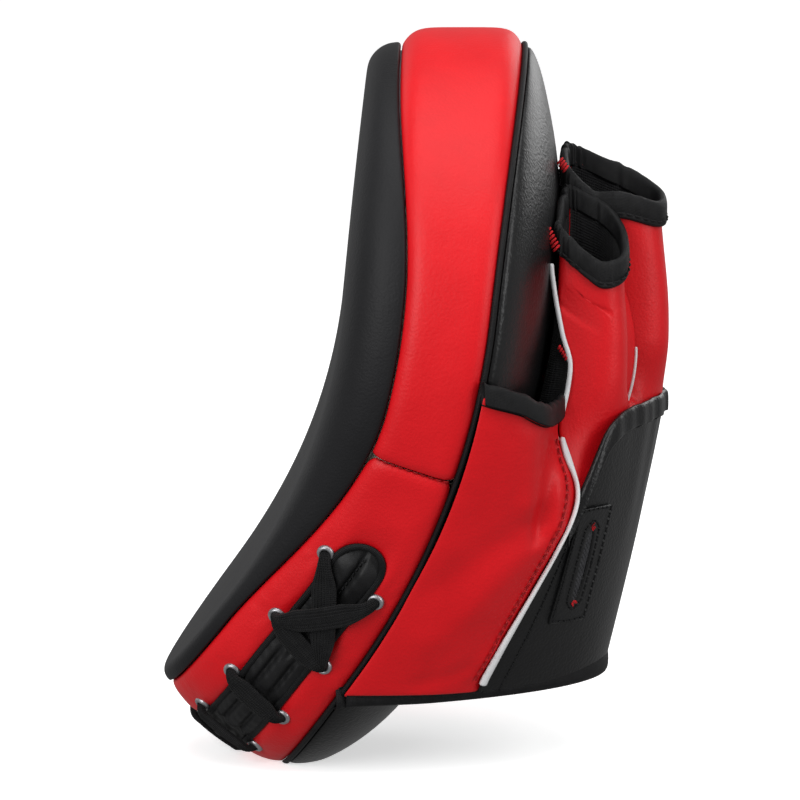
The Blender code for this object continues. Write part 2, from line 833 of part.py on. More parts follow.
def make_side_panels():
    heights = spread(PANEL_BOTTOM_Z, KNUCKLE_Z, 9)

    def near(z):
        return spread(0.0, panel_edge(z) - angle_gap(z, PIPING_RADIUS + PIPING_CLEARANCE), 7)

    def far(z):
        return [math.pi - t for t in near(z)]

    arch_shell("thumb_side_panel", near, heights, 0.0, GLOVE_WALL, "red_leather")
    arch_shell("little_finger_side_panel", far, heights, 0.0, GLOVE_WALL, "red_leather")


def back_angles(z):
    """Angles across the back-of-hand panel, with lines on both sides of each strap slot."""
    first = panel_edge(z) + angle_gap(z, PIPING_RADIUS + PIPING_CLEARANCE)
    slot = (STRAP_ANGLE - STRAP_SLOT_HALF_ANGLE, STRAP_ANGLE + STRAP_SLOT_HALF_ANGLE)
    middle = spread(slot[1], math.pi - slot[1], 10)
    return [first, slot[0], *middle, math.pi - slot[0], math.pi - first]


def make_back_of_hand():
    top = KNUCKLE_Z - BACK_OF_HAND_HEM_HEIGHT - GAP
    slot_low = STRAP_LOW - STRAP_SLOT_CLEARANCE
    slot_high = STRAP_HIGH + STRAP_SLOT_CLEARANCE
    heights = spread(PANEL_BOTTOM_Z, slot_low, 2) + spread(slot_low, slot_high, 2)[1:]
    heights += spread(slot_high, top, 3)[1:]
    last = len(back_angles(0.0)) - 3

    def keep(i, j):
        return not (i in (2, 3) and j in (1, last))

    arch_shell("back_of_hand_panel", back_angles, heights, 0.0, GLOVE_WALL, "black_leather", keep)
    hem = spread(KNUCKLE_Z - BACK_OF_HAND_HEM_HEIGHT, KNUCKLE_Z, 2)
    wall = GLOVE_WALL + BINDING_PROUD
    arch_shell("back_of_hand_hem", back_angles, hem, BINDING_PROUD, wall, "black_leather")


def make_wrist_binding():
    heights = (HEM_BOTTOM_Z, HEM_BOTTOM_Z + HEM_HEIGHT / 2.0, HEM_BOTTOM_Z + HEM_HEIGHT)
    wall = GLOVE_WALL + 2.0 * BINDING_PROUD
    angles = spread(0.0, math.pi, 22)
    arch_shell("wrist_hem_binding", lambda z: angles, heights, BINDING_PROUD, wall, "binding")


def make_thumb_binding():
    """The bound rim of the thumb opening, from the pad to the index finger's sleeve."""
    low = KNUCKLE_Z + GAP
    heights = spread(low, low + THUMB_BINDING_HEIGHT, 2)
    sleeve_side = 2.0 * FINGER_PITCH + THUMB_OPENING_CLEARANCE
    wall = GLOVE_WALL + 2.0 * BINDING_PROUD

    def last_angle(z):
        low_t = 0.0
        high_t = math.pi / 2.0
        for _ in range(30):
            t = (low_t + high_t) / 2.0
            if arch(t, z, -GLOVE_WALL - BINDING_PROUD).x > sleeve_side:
                low_t = t
            else:
                high_t = t
        return low_t

    arch_shell(
        "thumb_opening_binding",
        lambda z: spread(0.0, last_angle(z), 7),
        heights,
        BINDING_PROUD,
        wall,
        "binding",
    )


def make_pipings():
    heights = spread(PANEL_BOTTOM_Z + PIPING_CLEARANCE, KNUCKLE_Z - PIPING_CLEARANCE, 12)
    near = [arch(panel_edge(z), z, 0.0) for z in heights]
    far = [arch(math.pi - panel_edge(z), z, 0.0) for z in heights]
    tube("thumb_side_piping", near, PIPING_RADIUS, "white")
    tube("little_finger_side_piping", far, PIPING_RADIUS, "white")


# ---------------------------------------------------------------- finger sleeves


def dome_y(x, z, clearance):
    """The back cover's face, in front of the hand, at sideways place x and height z."""

    def depth(v):
        return dome_depth(dome_share(x, v), v)

    v = v_at(z, depth)
    return pad_point(x, v, depth(v)).y + clearance


def sleeve_section(finger, z_share, offset, sides=14):
    """One ring of a finger sleeve; z_share 0 is its lower end and 1 is its rim."""
    shape = SLEEVES[finger]
    middle_x = shape["slot"] * FINGER_PITCH
    half_x = FINGER_PITCH / 2.0 - GAP - offset
    low = KNUCKLE_Z + 2.0 * GAP
    fall_x, fall_y = RIM_FALL[finger]
    ring = []
    for k in range(sides):
        a = 2.0 * math.pi * (k + 0.5) / sides
        c = math.cos(a)
        n = math.sin(a)
        unit_x = math.copysign(abs(c) ** (2.0 / SLEEVE_POWER), c)
        unit_y = math.copysign(abs(n) ** (2.0 / SLEEVE_POWER), n)
        x = middle_x + half_x * unit_x
        z = low
        y = 0.0
        for _ in range(4):
            height = min((z - low) / (shape["rim"] - low), 1.0)
            inner = sleeve_floor(middle_x, z) + offset
            bulge = shape["swell"] * (1.0 - height * height)
            outer = shape["outer"] + bulge - offset
            y = (inner + outer) / 2.0 + (outer - inner) / 2.0 * unit_y
            away = FINGER_PITCH / 2.0 + (x - middle_x) * math.copysign(1.0, middle_x)
            proud = y - sleeve_floor(middle_x, shape["rim"])
            rim = shape["rim"] - fall_x * away - fall_y * proud
            z = low + (rim - low) * z_share
        ring.append(Vector((x, y, z)))
    return ring


def sleeve_floor(middle_x, z):
    """Where a sleeve lies on the dome: clear of the dome's highest point under it."""
    inner_x = abs(middle_x) - FINGER_PITCH / 2.0
    return dome_y(inner_x, z, LINING_THICKNESS + 2.0 * GAP)


def make_sleeves():
    for finger, shape in SLEEVES.items():
        low = KNUCKLE_Z + 2.0 * GAP
        height = shape["rim"] - low - 0.5 * FINGER_PITCH * RIM_FALL[finger][0]
        bound = 1.0 - SLEEVE_BINDING_HEIGHT / height
        body = spread(0.0, bound, 6)
        outer = [sleeve_section(finger, share, 0.0) for share in body]
        inner = [sleeve_section(finger, share, SLEEVE_WALL) for share in body]
        shell(f"{finger}_finger_sleeve", outer, inner, "red_leather", loop=True)
        rim = spread(bound + GAP / height, 1.0, 2)
        outer = [sleeve_section(finger, share, 0.0) for share in rim]
        inner = [sleeve_section(finger, share, SLEEVE_WALL + BINDING_PROUD) for share in rim]
        shell(f"{finger}_finger_binding", outer, inner, "binding", loop=True)


def make_palm_lining():
    """A thin lining on the back cover, inside the glove."""
    outer = []
    inner = []
    for z in spread(HEM_BOTTOM_Z, KNUCKLE_Z, 8):
        v = v_at(z, thickness)
        reach = half_width(v) * LINING_REACH
        places = spread(-reach, reach, 8)
        outer.append([Vector((x, dome_y(x, z, GAP + LINING_THICKNESS + GAP), z)) for x in places])
        inner.append([Vector((x, dome_y(x, z, 2.0 * GAP), z)) for x in places])
    shell("palm_lining", outer, inner, "lining")


# ---------------------------------------------------------------- wrist strap


def make_slot_patches():
    """A stitched patch round each strap slot, on the outside of the panel."""
    slot_low = STRAP_LOW - STRAP_SLOT_CLEARANCE
    slot_high = STRAP_HIGH + STRAP_SLOT_CLEARANCE
    heights = (slot_low - PATCH_MARGIN_Z, slot_low, STRAP_Z, slot_high, slot_high + PATCH_MARGIN_Z)
    offset = GAP + PATCH_THICKNESS
    first = STRAP_ANGLE - STRAP_SLOT_HALF_ANGLE
    last = STRAP_ANGLE + STRAP_SLOT_HALF_ANGLE
    near = [first - PATCH_MARGIN_ANGLE, first, last, last + PATCH_MARGIN_ANGLE]
    far = [math.pi - t for t in reversed(near)]

    def keep(i, j):
        return not (i in (1, 2) and j == 1)

    for side, angles in (("thumb", near), ("far", far)):
        name = f"{side}_side_slot_patch"
        arch_shell(name, lambda z, a=angles: a, heights, offset, PATCH_THICKNESS, "black_leather", keep)


def make_strap():
    """The strap's fixed run inside the glove, from one slot to the other."""
    under = -GLOVE_WALL - STRAP_CLEARANCE
    angles = spread(STRAP_ANGLE, math.pi - STRAP_ANGLE, 14)
    outer = []
    inner = []
    for z in spread(STRAP_LOW, STRAP_HIGH, 4):
        outer.append([arch(t, z, under) for t in angles])
        inner.append([arch(t, z, under - STRAP_THICKNESS) for t in angles])
    shell("wrist_strap", outer, inner, "webbing")


LOOP_OFFSET = GAP + PATCH_THICKNESS + GAP + FASTENER_THICKNESS
HOOK_OFFSET = LOOP_OFFSET + GAP + FASTENER_THICKNESS
TAIL_OFFSET = HOOK_OFFSET + GAP + STRAP_THICKNESS


def strap_hinge():
    """Middle of the tail's root, over the far slot, where the tail turns as it is peeled off."""
    return arch(math.pi - STRAP_ANGLE, STRAP_Z, TAIL_OFFSET - STRAP_THICKNESS / 2.0)


def make_tail():
    """The strap's free end with its hook patch, and the loop patch that it closes on."""
    hinge = bpy.data.objects.new("strap_hinge", None)
    hinge.location = strap_hinge()
    bpy.context.scene.collection.objects.link(hinge)
    run = spread(math.pi - STRAP_ANGLE, math.pi - TAIL_END_ANGLE, 10)
    tail_heights = spread(STRAP_LOW, STRAP_HIGH, 2)
    tail = arch_shell("strap_tail", lambda z: run, tail_heights, TAIL_OFFSET, STRAP_THICKNESS, "webbing")
    spots = spread(math.pi - FASTENER_START_ANGLE, math.pi - TAIL_END_ANGLE, 5)
    heights = (STRAP_LOW + 2.0 * GAP, STRAP_Z, STRAP_HIGH - 2.0 * GAP)
    made = []
    for name, offset in (("strap_hook_patch", HOOK_OFFSET), ("strap_loop_patch", LOOP_OFFSET)):
        made.append(arch_shell(name, lambda z: spots, heights, offset, FASTENER_THICKNESS, "fastener"))
    for piece in (tail, made[0]):
        piece.data.transform(Matrix.Translation(-hinge.location))
        piece.parent = hinge


def main():
    clear_scene()
    make_strike_cover()
    make_impact_foam()
    make_core_foam()
    make_board()
    make_palm_foam()
    make_back_cover()
    make_seam_cord()
    make_upper_gusset()
    make_lower_gusset()
    make_slot_binding()
    make_tongue()
    make_eyelets()
    make_lace()
    make_side_panels()
    make_back_of_hand()
    make_wrist_binding()
    make_thumb_binding()
    make_pipings()
    make_sleeves()
    make_palm_lining()
    make_slot_patches()
    make_strap()
    make_tail()


main()
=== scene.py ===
"""Looks of the focus mitt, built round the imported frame.

Frame: metres, +Z up along the fingers, strike face towards -Y, thumb towards +X.
On the pad, s runs round the outline from the bottom middle (positive towards the thumb),
v runs down the strike face from the top edge and w is the depth behind the strike face.
On the glove, t is the angle round the hand from the thumb side's seam and z is the height.
"""

import json
import math

import bmesh
import bpy
import numpy as np
from mathutils import Matrix, Vector


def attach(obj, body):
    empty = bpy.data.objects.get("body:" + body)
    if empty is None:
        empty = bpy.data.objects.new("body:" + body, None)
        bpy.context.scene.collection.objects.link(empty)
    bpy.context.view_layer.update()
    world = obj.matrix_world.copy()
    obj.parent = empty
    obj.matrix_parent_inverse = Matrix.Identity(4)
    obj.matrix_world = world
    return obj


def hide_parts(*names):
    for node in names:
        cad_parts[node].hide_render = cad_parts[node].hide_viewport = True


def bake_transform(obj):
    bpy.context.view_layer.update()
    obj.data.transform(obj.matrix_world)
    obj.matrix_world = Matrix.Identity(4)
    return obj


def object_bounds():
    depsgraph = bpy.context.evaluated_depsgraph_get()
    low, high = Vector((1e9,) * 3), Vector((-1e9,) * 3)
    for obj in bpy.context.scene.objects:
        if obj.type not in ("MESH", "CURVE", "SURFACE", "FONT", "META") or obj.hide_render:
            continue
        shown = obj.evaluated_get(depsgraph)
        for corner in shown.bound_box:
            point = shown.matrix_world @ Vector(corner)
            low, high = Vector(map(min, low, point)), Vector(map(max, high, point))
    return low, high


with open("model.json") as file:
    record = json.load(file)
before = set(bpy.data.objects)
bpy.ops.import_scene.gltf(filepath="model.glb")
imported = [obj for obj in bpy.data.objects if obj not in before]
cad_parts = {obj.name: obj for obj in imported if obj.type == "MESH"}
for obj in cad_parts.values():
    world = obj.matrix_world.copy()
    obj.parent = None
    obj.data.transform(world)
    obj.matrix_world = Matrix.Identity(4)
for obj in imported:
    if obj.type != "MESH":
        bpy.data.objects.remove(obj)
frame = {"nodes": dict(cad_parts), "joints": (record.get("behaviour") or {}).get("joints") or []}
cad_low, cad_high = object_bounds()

# Pad, the same sizes as the frame's
PAD_LENGTH = 0.2435
PAD_TOP_RADIUS = 0.095
PAD_BOTTOM_RADIUS = 0.058
PAD_TOP_Y = -0.0552
PAD_TOP_Z = 0.1845
PAD_THICKNESS_MIDDLE = 0.048
PAD_THICKNESS_ENDS = 0.053
LEAN = math.radians(5.3)
STRAIGHT_TOP = 0.087
BEND_RADIUS = 0.200
BEND_ANGLE = math.radians(32.2)
WRAP_TOP = 0.011
WRAP_SIDE = 0.0195
WRAP_BOTTOM = 0.0052
WRAP_RISE_END = 0.085
WRAP_FALL_START = 0.120
WRAP_FALL_END = 0.205
DOME_RISE = 0.0230
DOME_FULLNESS = 0.7
DOME_START = 0.0015
CROSS_SEAM_V = 0.1335
SLOT_END = 0.122
SLOT_HALF = 0.0085
EYELET_PITCH = 0.0275
EYELET_OFFSET = 0.0115
EYELET_STAGGER = 0.0032
LACE_ROWS = 4

# Glove, the same sizes as the frame's
GLOVE_INSET = 0.0025
HEM_BOTTOM_Z = -0.0425
HEM_HEIGHT = 0.0080
KNUCKLE_Z = 0.0585
HAND_BACK_TOP_Y = 0.0465
HAND_BACK_SLOPE = 0.0220
HAND_BACK_SLOPE_POWER = 1.15
ARCH_POWER_HEM = 2.0
ARCH_POWER_KNUCKLE = 1.45
PANEL_EDGE_HEM = math.radians(24.0)
PANEL_EDGE_KNUCKLE = math.radians(41.0)
FINGER_PITCH = 0.0256
SLEEVE_POWER = 2.6
STRAP_Z = 0.0055
STRAP_WIDTH = 0.0250
STRAP_ANGLE = math.radians(47.0)
SLOT_HALF_ANGLE = math.radians(2.6)

# Looks only
EDGE_DROP = 0.0030
EDGE_DROP_TOP = 0.0026
LEATHER = 0.0012
THREAD = 0.00034

PAD_MIDDLE = Vector((0.0, -0.045, 0.080))
HAND_MIDDLE = Vector((0.0, 0.008, 0.010))


def smooth(x):
    """0 below 0, 1 above 1, and a smooth rise between."""
    x = min(max(x, 0.0), 1.0)
    return x * x * (3.0 - 2.0 * x)


def bump_at(x, middle, width):
    """A smooth bump, 1 at the middle and near 0 two widths away."""
    return math.exp(-(((x - middle) / width) ** 2))


def spread(first, last, count):
    """count + 1 evenly spaced values from first to last."""
    return [first + (last - first) * k / count for k in range(count + 1)]


def mix(a, b, share):
    return a + (b - a) * share


# ---------------------------------------------------------------- materials


def node(tree, kind, **settings):
    made = tree.nodes.new(kind)
    for key, value in settings.items():
        if key in made.inputs:
            made.inputs[key].default_value = value
        else:
            setattr(made, key, value)
    return made


def base_material(name, roughness, metallic=0.0, coat=0.0, coat_roughness=0.3, sheen=0.0, specular=0.2):
    made = bpy.data.materials.new(name)
    made.use_nodes = True
    tree = made.node_tree
    shader = tree.nodes["Principled BSDF"]
    shader.inputs["Roughness"].default_value = roughness
    shader.inputs["Metallic"].default_value = metallic
    shader.inputs["Coat Weight"].default_value = coat
    shader.inputs["Coat Roughness"].default_value = coat_roughness
    shader.inputs["Sheen Weight"].default_value = sheen
    shader.inputs["Specular IOR Level"].default_value = specular
    place = node(tree, "ShaderNodeTexCoord").outputs["Object"]
    return made, tree, shader, place


def two_tone(tree, shader, place, dark, light, scale, detail=4.0):
    """Base colour that wanders between two tones."""
    noise = node(tree, "ShaderNodeTexNoise", Scale=scale, Detail=detail, Roughness=0.6)
    tree.links.new(place, noise.inputs["Vector"])
    ramp = node(tree, "ShaderNodeValToRGB")
    ramp.color_ramp.elements[0].position = 0.3
    ramp.color_ramp.elements[0].color = (*dark, 1.0)
    ramp.color_ramp.elements[1].position = 0.7
    ramp.color_ramp.elements[1].color = (*light, 1.0)
    tree.links.new(noise.outputs["Fac"], ramp.inputs["Fac"])
    tree.links.new(ramp.outputs["Color"], shader.inputs["Base Color"])
    return noise


def roughness_range(tree, shader, source, low, high):
    spread_out = node(tree, "ShaderNodeMapRange")
    spread_out.inputs["To Min"].default_value = low
    spread_out.inputs["To Max"].default_value = high
    tree.links.new(source, spread_out.inputs["Value"])
    tree.links.new(spread_out.outputs["Result"], shader.inputs["Roughness"])


def bumps(tree, shader, heights):
    """Chains bump nodes; heights holds (socket, strength, distance)."""
    last = None
    for socket, strength, distance in heights:
        made = node(tree, "ShaderNodeBump", Strength=strength, Distance=distance)
        tree.links.new(socket, made.inputs["Height"])
        if last:
            tree.links.new(last, made.inputs["Normal"])
        last = made.outputs["Normal"]
    tree.links.new(last, shader.inputs["Normal"])


def leather(name, dark, light, roughness, grain=0.0009, depth=0.25, coat=0.0, crease=0.2, specular=0.3):
    """Coated leather: pebbled grain, fine pores, soft uneven gloss and slow colour drift."""
    made, tree, shader, place = base_material(name, roughness[0], coat=coat, coat_roughness=0.35, specular=specular)
    drift = two_tone(tree, shader, place, dark, light, 22.0)
    roughness_range(tree, shader, drift.outputs["Fac"], *roughness)
    bend = node(tree, "ShaderNodeTexNoise", Scale=0.35 / grain, Detail=2.0)
    tree.links.new(place, bend.inputs["Vector"])
    warp = node(tree, "ShaderNodeVectorMath", operation="MULTIPLY_ADD")
    warp.inputs[1].default_value = (grain, grain, grain)
    tree.links.new(bend.outputs["Color"], warp.inputs[0])
    tree.links.new(place, warp.inputs[2])
    pebble = node(tree, "ShaderNodeTexVoronoi", feature="SMOOTH_F1", Scale=1.0 / grain)
    tree.links.new(warp.outputs["Vector"], pebble.inputs["Vector"])
    pores = node(tree, "ShaderNodeTexNoise", Scale=2.6 / grain, Detail=3.0)
    tree.links.new(place, pores.inputs["Vector"])
    slow = node(tree, "ShaderNodeTexNoise", Scale=70.0, Detail=3.0)
    tree.links.new(place, slow.inputs["Vector"])
    bumps(
        tree,
        shader,
        [
            (slow.outputs["Fac"], crease, 0.0012),
            (pebble.outputs["Distance"], depth, 0.35 * grain),
            (pores.outputs["Fac"], 0.5 * depth, 0.2 * grain),
        ],
    )
    return made


def woven(name, dark, light, roughness, thread=0.0006, depth=0.6, sheen=0.0, twill=False):
    """Woven fabric: warp and weft ribs laid along the piece's own length and width."""
    made, tree, shader, place = base_material(name, roughness, sheen=sheen)
    two_tone(tree, shader, place, dark, light, 300.0)
    flat = node(tree, "ShaderNodeUVMap", uv_map="cloth").outputs["UV"]
    turn = node(tree, "ShaderNodeMapping")
    turn.inputs["Rotation"].default_value[2] = math.radians(45.0) if twill else 0.0
    tree.links.new(flat, turn.inputs["Vector"])
    heights = []
    for direction in ("X", "Y"):
        wave = node(tree, "ShaderNodeTexWave", bands_direction=direction, Scale=0.32 / thread)
        wave.inputs["Distortion"].default_value = 0.4
        tree.links.new(turn.outputs["Vector"], wave.inputs["Vector"])
        heights.append((wave.outputs["Fac"], depth, 0.3 * thread))
    bumps(tree, shader, heights)
    return made


def foam(name, dark, light, pore):
    """Cut foam with open pores."""
    made, tree, shader, place = base_material(name, 0.92)
    two_tone(tree, shader, place, dark, light, 60.0)
    cells = node(tree, "ShaderNodeTexVoronoi", Scale=1.0 / pore)
    tree.links.new(place, cells.inputs["Vector"])
    fine = node(tree, "ShaderNodeTexNoise", Scale=3.0 / pore, Detail=3.0)
    tree.links.new(place, fine.inputs["Vector"])
    bumps(tree, shader, [(cells.outputs["Distance"], 0.7, 0.5 * pore), (fine.outputs["Fac"], 0.4, 0.2 * pore)])
    return made


def fibre_board(name):
    """Pressed fibre board with long fibres in its face."""
    made, tree, shader, place = base_material(name, 0.75)
    two_tone(tree, shader, place, (0.24, 0.16, 0.09), (0.40, 0.28, 0.17), 90.0)
    stretch = node(tree, "ShaderNodeMapping")
    stretch.inputs["Scale"].default_value = (900.0, 900.0, 60.0)
    tree.links.new(place, stretch.inputs["Vector"])
    fibre = node(tree, "ShaderNodeTexNoise", Scale=1.0, Detail=4.0)
    tree.links.new(stretch.outputs["Vector"], fibre.inputs["Vector"])
    bumps(tree, shader, [(fibre.outputs["Fac"], 0.5, 0.0004)])
    return made


def metal(name):
    """Plated eyelet metal, brushed by wear and a little tarnished."""
    made, tree, shader, place = base_material(name, 0.4, metallic=0.85)
    tone = two_tone(tree, shader, place, (0.24, 0.24, 0.25), (0.46, 0.46, 0.48), 420.0)
    roughness_range(tree, shader, tone.outputs["Fac"], 0.28, 0.5)
    scratch = node(tree, "ShaderNodeTexNoise", Scale=1500.0, Detail=2.0)
    tree.links.new(place, scratch.inputs["Vector"])
    bumps(tree, shader, [(scratch.outputs["Fac"], 0.2, 0.0001)])
    return made


def napped(name, dark, light, tuft):
    """Hook or loop pile."""
    made, tree, shader, place = base_material(name, 0.95, sheen=0.3)
    two_tone(tree, shader, place, dark, light, 500.0)
    pile = node(tree, "ShaderNodeTexVoronoi", Scale=1.0 / tuft)
    tree.links.new(place, pile.inputs["Vector"])
    hair = node(tree, "ShaderNodeTexNoise", Scale=4.0 / tuft, Detail=4.0)
    tree.links.new(place, hair.inputs["Vector"])
    bumps(tree, shader, [(pile.outputs["Distance"], 1.0, tuft), (hair.outputs["Fac"], 0.8, 0.4 * tuft)])
    return made


def studio(name, colour):
    made, tree, shader, place = base_material(name, 0.9)
    two_tone(tree, shader, place, colour, colour, 3.0)
    shader.inputs["Emission Color"].default_value = (1.0, 1.0, 1.0, 1.0)
    shader.inputs["Emission Strength"].default_value = 0.55
    return made


LOOKS = {
    "red": leather("red_leather", (0.56, 0.003, 0.007), (0.68, 0.005, 0.010), (0.42, 0.52), specular=0.28),
    "face": leather("face_leather", (0.007, 0.007, 0.008), (0.010, 0.010, 0.011), (0.50, 0.60), grain=0.0008, specular=0.2),
    "black": leather(
        "black_leather", (0.003, 0.003, 0.0033), (0.006, 0.006, 0.0065), (0.30, 0.42), grain=0.0010, depth=0.35, specular=0.35
    ),
    "white": leather("white_vinyl", (0.66, 0.66, 0.67), (0.78, 0.78, 0.79), (0.38, 0.50), grain=0.0006, depth=0.15),
    "binding": woven("binding_tape", (0.003, 0.003, 0.0034), (0.007, 0.007, 0.0076), 0.55, thread=0.0005, depth=0.4),
    "lace": woven("elastic_lace", (0.003, 0.003, 0.0035), (0.008, 0.008, 0.0085), 0.8, thread=0.0007, sheen=0.03),
    "tongue": leather("padded_tongue", (0.003, 0.003, 0.0035), (0.008, 0.008, 0.0085), (0.5, 0.6), grain=0.0007),
    "webbing": woven("strap_webbing", (0.03, 0.03, 0.033), (0.07, 0.07, 0.075), 0.8, thread=0.0012, depth=0.8, twill=True),
    "lining": woven("pocket_lining", (0.003, 0.003, 0.0034), (0.007, 0.007, 0.0075), 0.9, thread=0.0008, sheen=0.03),
    "hooks": napped("hook_tape", (0.010, 0.010, 0.010), (0.025, 0.025, 0.026), 0.0011),
    "loops": napped("loop_tape", (0.014, 0.014, 0.015), (0.035, 0.035, 0.037), 0.0008),
    "impact": foam("impact_foam", (0.22, 0.23, 0.25), (0.34, 0.35, 0.38), 0.0010),
    "soft": foam("soft_foam", (0.52, 0.50, 0.42), (0.68, 0.66, 0.57), 0.0016),
    "board": fibre_board("fibre_board"),
    "metal": metal("eyelet_metal"),
    "red_thread": woven("red_thread", (0.42, 0.008, 0.012), (0.60, 0.012, 0.018), 0.6, thread=0.0003),
    "dark_red_thread": woven("dark_red_thread", (0.22, 0.003, 0.005), (0.34, 0.005, 0.008), 0.7, thread=0.0003),
    "black_thread": woven("black_thread", (0.005, 0.005, 0.0055), (0.014, 0.014, 0.015), 0.7, thread=0.0003),
    "floor": studio("studio_floor", (0.90, 0.90, 0.90)),
}


# ---------------------------------------------------------------- mesh builders


def uv_from_rows(mesh, rows_uv):
    layer = mesh.uv_layers.new(name="cloth")
    for loop in mesh.loops:
        layer.data[loop.index].uv = rows_uv[loop.vertex_index]


def add_object(name, mesh, look, body="mitt"):
    mesh.materials.append(LOOKS[look])
    mesh.shade_smooth()
    obj = bpy.data.objects.new(name, mesh)
    bpy.context.scene.collection.objects.link(obj)
    if body:
        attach(obj, body)
    return obj


def finish_sheet(obj, wall, levels, inner_look=None):
    """Gives a single sheet its thickness, inwards, and rounds it."""
    if wall:
        thick = obj.modifiers.new("thickness", "SOLIDIFY")
        thick.thickness = wall
        thick.offset = -1.0
        thick.use_quality_normals = True
        if inner_look:
            obj.data.materials.append(LOOKS[inner_look])
            thick.material_offset = 1
            thick.material_offset_rim = 0
    if levels:
        fine = obj.modifiers.new("fine", "SUBSURF")
        fine.levels = levels
        fine.render_levels = levels
    return obj


def cap_faces(count, base, turned):
    """Faces straight across a closed row of count points; turned reverses them, to agree with the rows."""
    half = count // 2
    faces = [[0, 1, count - 1]]
    faces += [[k, k + 1, count - k - 1, count - k] for k in range(1, half - 1)]
    faces.append([half - 1, half, half + 1])
    return [[base + n for n in (reversed(face) if turned else face)] for face in faces]


def sheet_of(name, rows, look, wall=LEATHER, loop=False, levels=1, inside=PAD_MIDDLE, cap=False, inner_look=None,
             body="mitt"):
    """A sheet through rows of points that faces away from the point inside.

    loop closes each row on itself. cap closes the first row straight across, and "both" the last row too.
    """
    count = len(rows[0])
    points = [Vector(p) for row in rows for p in row]
    faces = []
    for i in range(len(rows) - 1):
        for j in range(count if loop else count - 1):
            k = (j + 1) % count
            faces.append([i * count + j, i * count + k, (i + 1) * count + k, (i + 1) * count + j])
    if cap:
        faces += cap_faces(count, 0, True)
    if cap == "both":
        faces += cap_faces(count, (len(rows) - 1) * count, False)
    facing = 0.0
    for face in faces:
        a, b, c = (points[k] for k in face[:3])
        facing += (b - a).cross(c - a).dot(a - inside)
    if facing < 0.0:
        faces = [list(reversed(face)) for face in faces]
    mesh = bpy.data.meshes.new(name)
    mesh.from_pydata(points, [], faces)
    middle_row = rows[len(rows) // 2]
    middle_column = [row[count // 2] for row in rows]
    across = np.cumsum([0.0] + [(Vector(b) - Vector(a)).length for a, b in zip(middle_row, middle_row[1:])])
    along = np.cumsum([0.0] + [(Vector(b) - Vector(a)).length for a, b in zip(middle_column, middle_column[1:])])
    uv_from_rows(mesh, [(across[j], along[i]) for i in range(len(rows)) for j in range(count)])
    return finish_sheet(add_object(name, mesh, look, body=body), wall, levels, inner_look)


def sweep(name, frames, profile, look, loop=False, levels=1, body="mitt"):
    """A closed profile of (sideways, outwards) points swept along frames of
    (place, side, out, side scale, out scale)."""
    size = len(profile)
    points = []
    uvs = []
    along = 0.0
    before = None
    around = [0.0]
    for a, b in zip(profile, profile[1:]):
        around.append(around[-1] + math.hypot(b[0] - a[0], b[1] - a[1]))
    for place, side, out, side_scale, out_scale in frames:
        if before is not None:
            along += (place - before).length
        before = place
        for k, (x, y) in enumerate(profile):
            points.append(place + side * (x * side_scale) + out * (y * out_scale))
            uvs.append((around[k], along))
    faces = []
    count = len(frames)
    for i in range(count if loop else count - 1):
        n = (i + 1) % count
        for k in range(size):
            m = (k + 1) % size
            faces.append([i * size + k, i * size + m, n * size + m, n * size + k])
    if not loop:
        faces.append(list(range(size))[::-1])
        faces.append([(count - 1) * size + k for k in range(size)])
    mesh = bpy.data.meshes.new(name)
    mesh.from_pydata(points, [], faces)
    work = bmesh.new()
    work.from_mesh(mesh)
    bmesh.ops.recalc_face_normals(work, faces=work.faces)
    if work.calc_volume(signed=True) < 0.0:
        bmesh.ops.reverse_faces(work, faces=work.faces)
    work.to_mesh(mesh)
    work.free()
    uv_from_rows(mesh, uvs)
    return finish_sheet(add_object(name, mesh, look, body=body), 0.0, levels)


def round_profile(radius, sides=8):
    return [
        (radius * math.cos(2.0 * math.pi * k / sides), radius * math.sin(2.0 * math.pi * k / sides))
        for k in range(sides)
    ]


def band_profile(width, thickness, ribs=0, rib=0.00015, crown=0.0):
    """A flat band's section, with fine ribs along it on its outer face."""
    steps = max(6, 4 * ribs)
    top = []
    for x in spread(-width / 2.0, width / 2.0, steps):
        ridge = rib * math.cos(2.0 * math.pi * ribs * x / width) if ribs else 0.0
        arch_up = crown * (1.0 - (2.0 * x / width) ** 2)
        edge = 0.35 * thickness if abs(x) > 0.499 * width else 0.0
        top.append((x, thickness + ridge + arch_up - edge))
    under = [(x, 0.0) for x in spread(width / 2.0, -width / 2.0, 6)]
    return top + under


def frames_along(path, outs, side_scale=None, out_scale=None, loop=False):
    """Sweep frames from a path and its outward directions."""
    frames = []
    count = len(path)
    for k, place in enumerate(path):
        if loop:
            along = path[(k + 1) % count] - path[k - 1]
        else:
            along = path[min(k + 1, count - 1)] - path[max(k - 1, 0)]
        along.normalize()
        out = outs[k] - along * outs[k].dot(along)
        out.normalize()
        side = along.cross(out)
        a = side_scale(k / (count - 1)) if side_scale else 1.0
        b = out_scale(k / (count - 1)) if out_scale else 1.0
        frames.append((place, side, out, a, b))
    return frames


def along_path(path, outs, pitch, start=0.5):
    """Evenly spaced (place, direction, out) on a path."""
    lengths = [0.0]
    for a, b in zip(path, path[1:]):
        lengths.append(lengths[-1] + (b - a).length)
    spots = []
    at = start * pitch
    k = 0
    while at < lengths[-1]:
        while lengths[k + 1] < at:
            k += 1
        part = (at - lengths[k]) / max(lengths[k + 1] - lengths[k], 1e-9)
        place = path[k].lerp(path[k + 1], part)
        direction = (path[k + 1] - path[k]).normalized()
        out = outs[k].lerp(outs[k + 1], part).normalized()
        spots.append((place, direction, out))
        at += pitch
    return spots


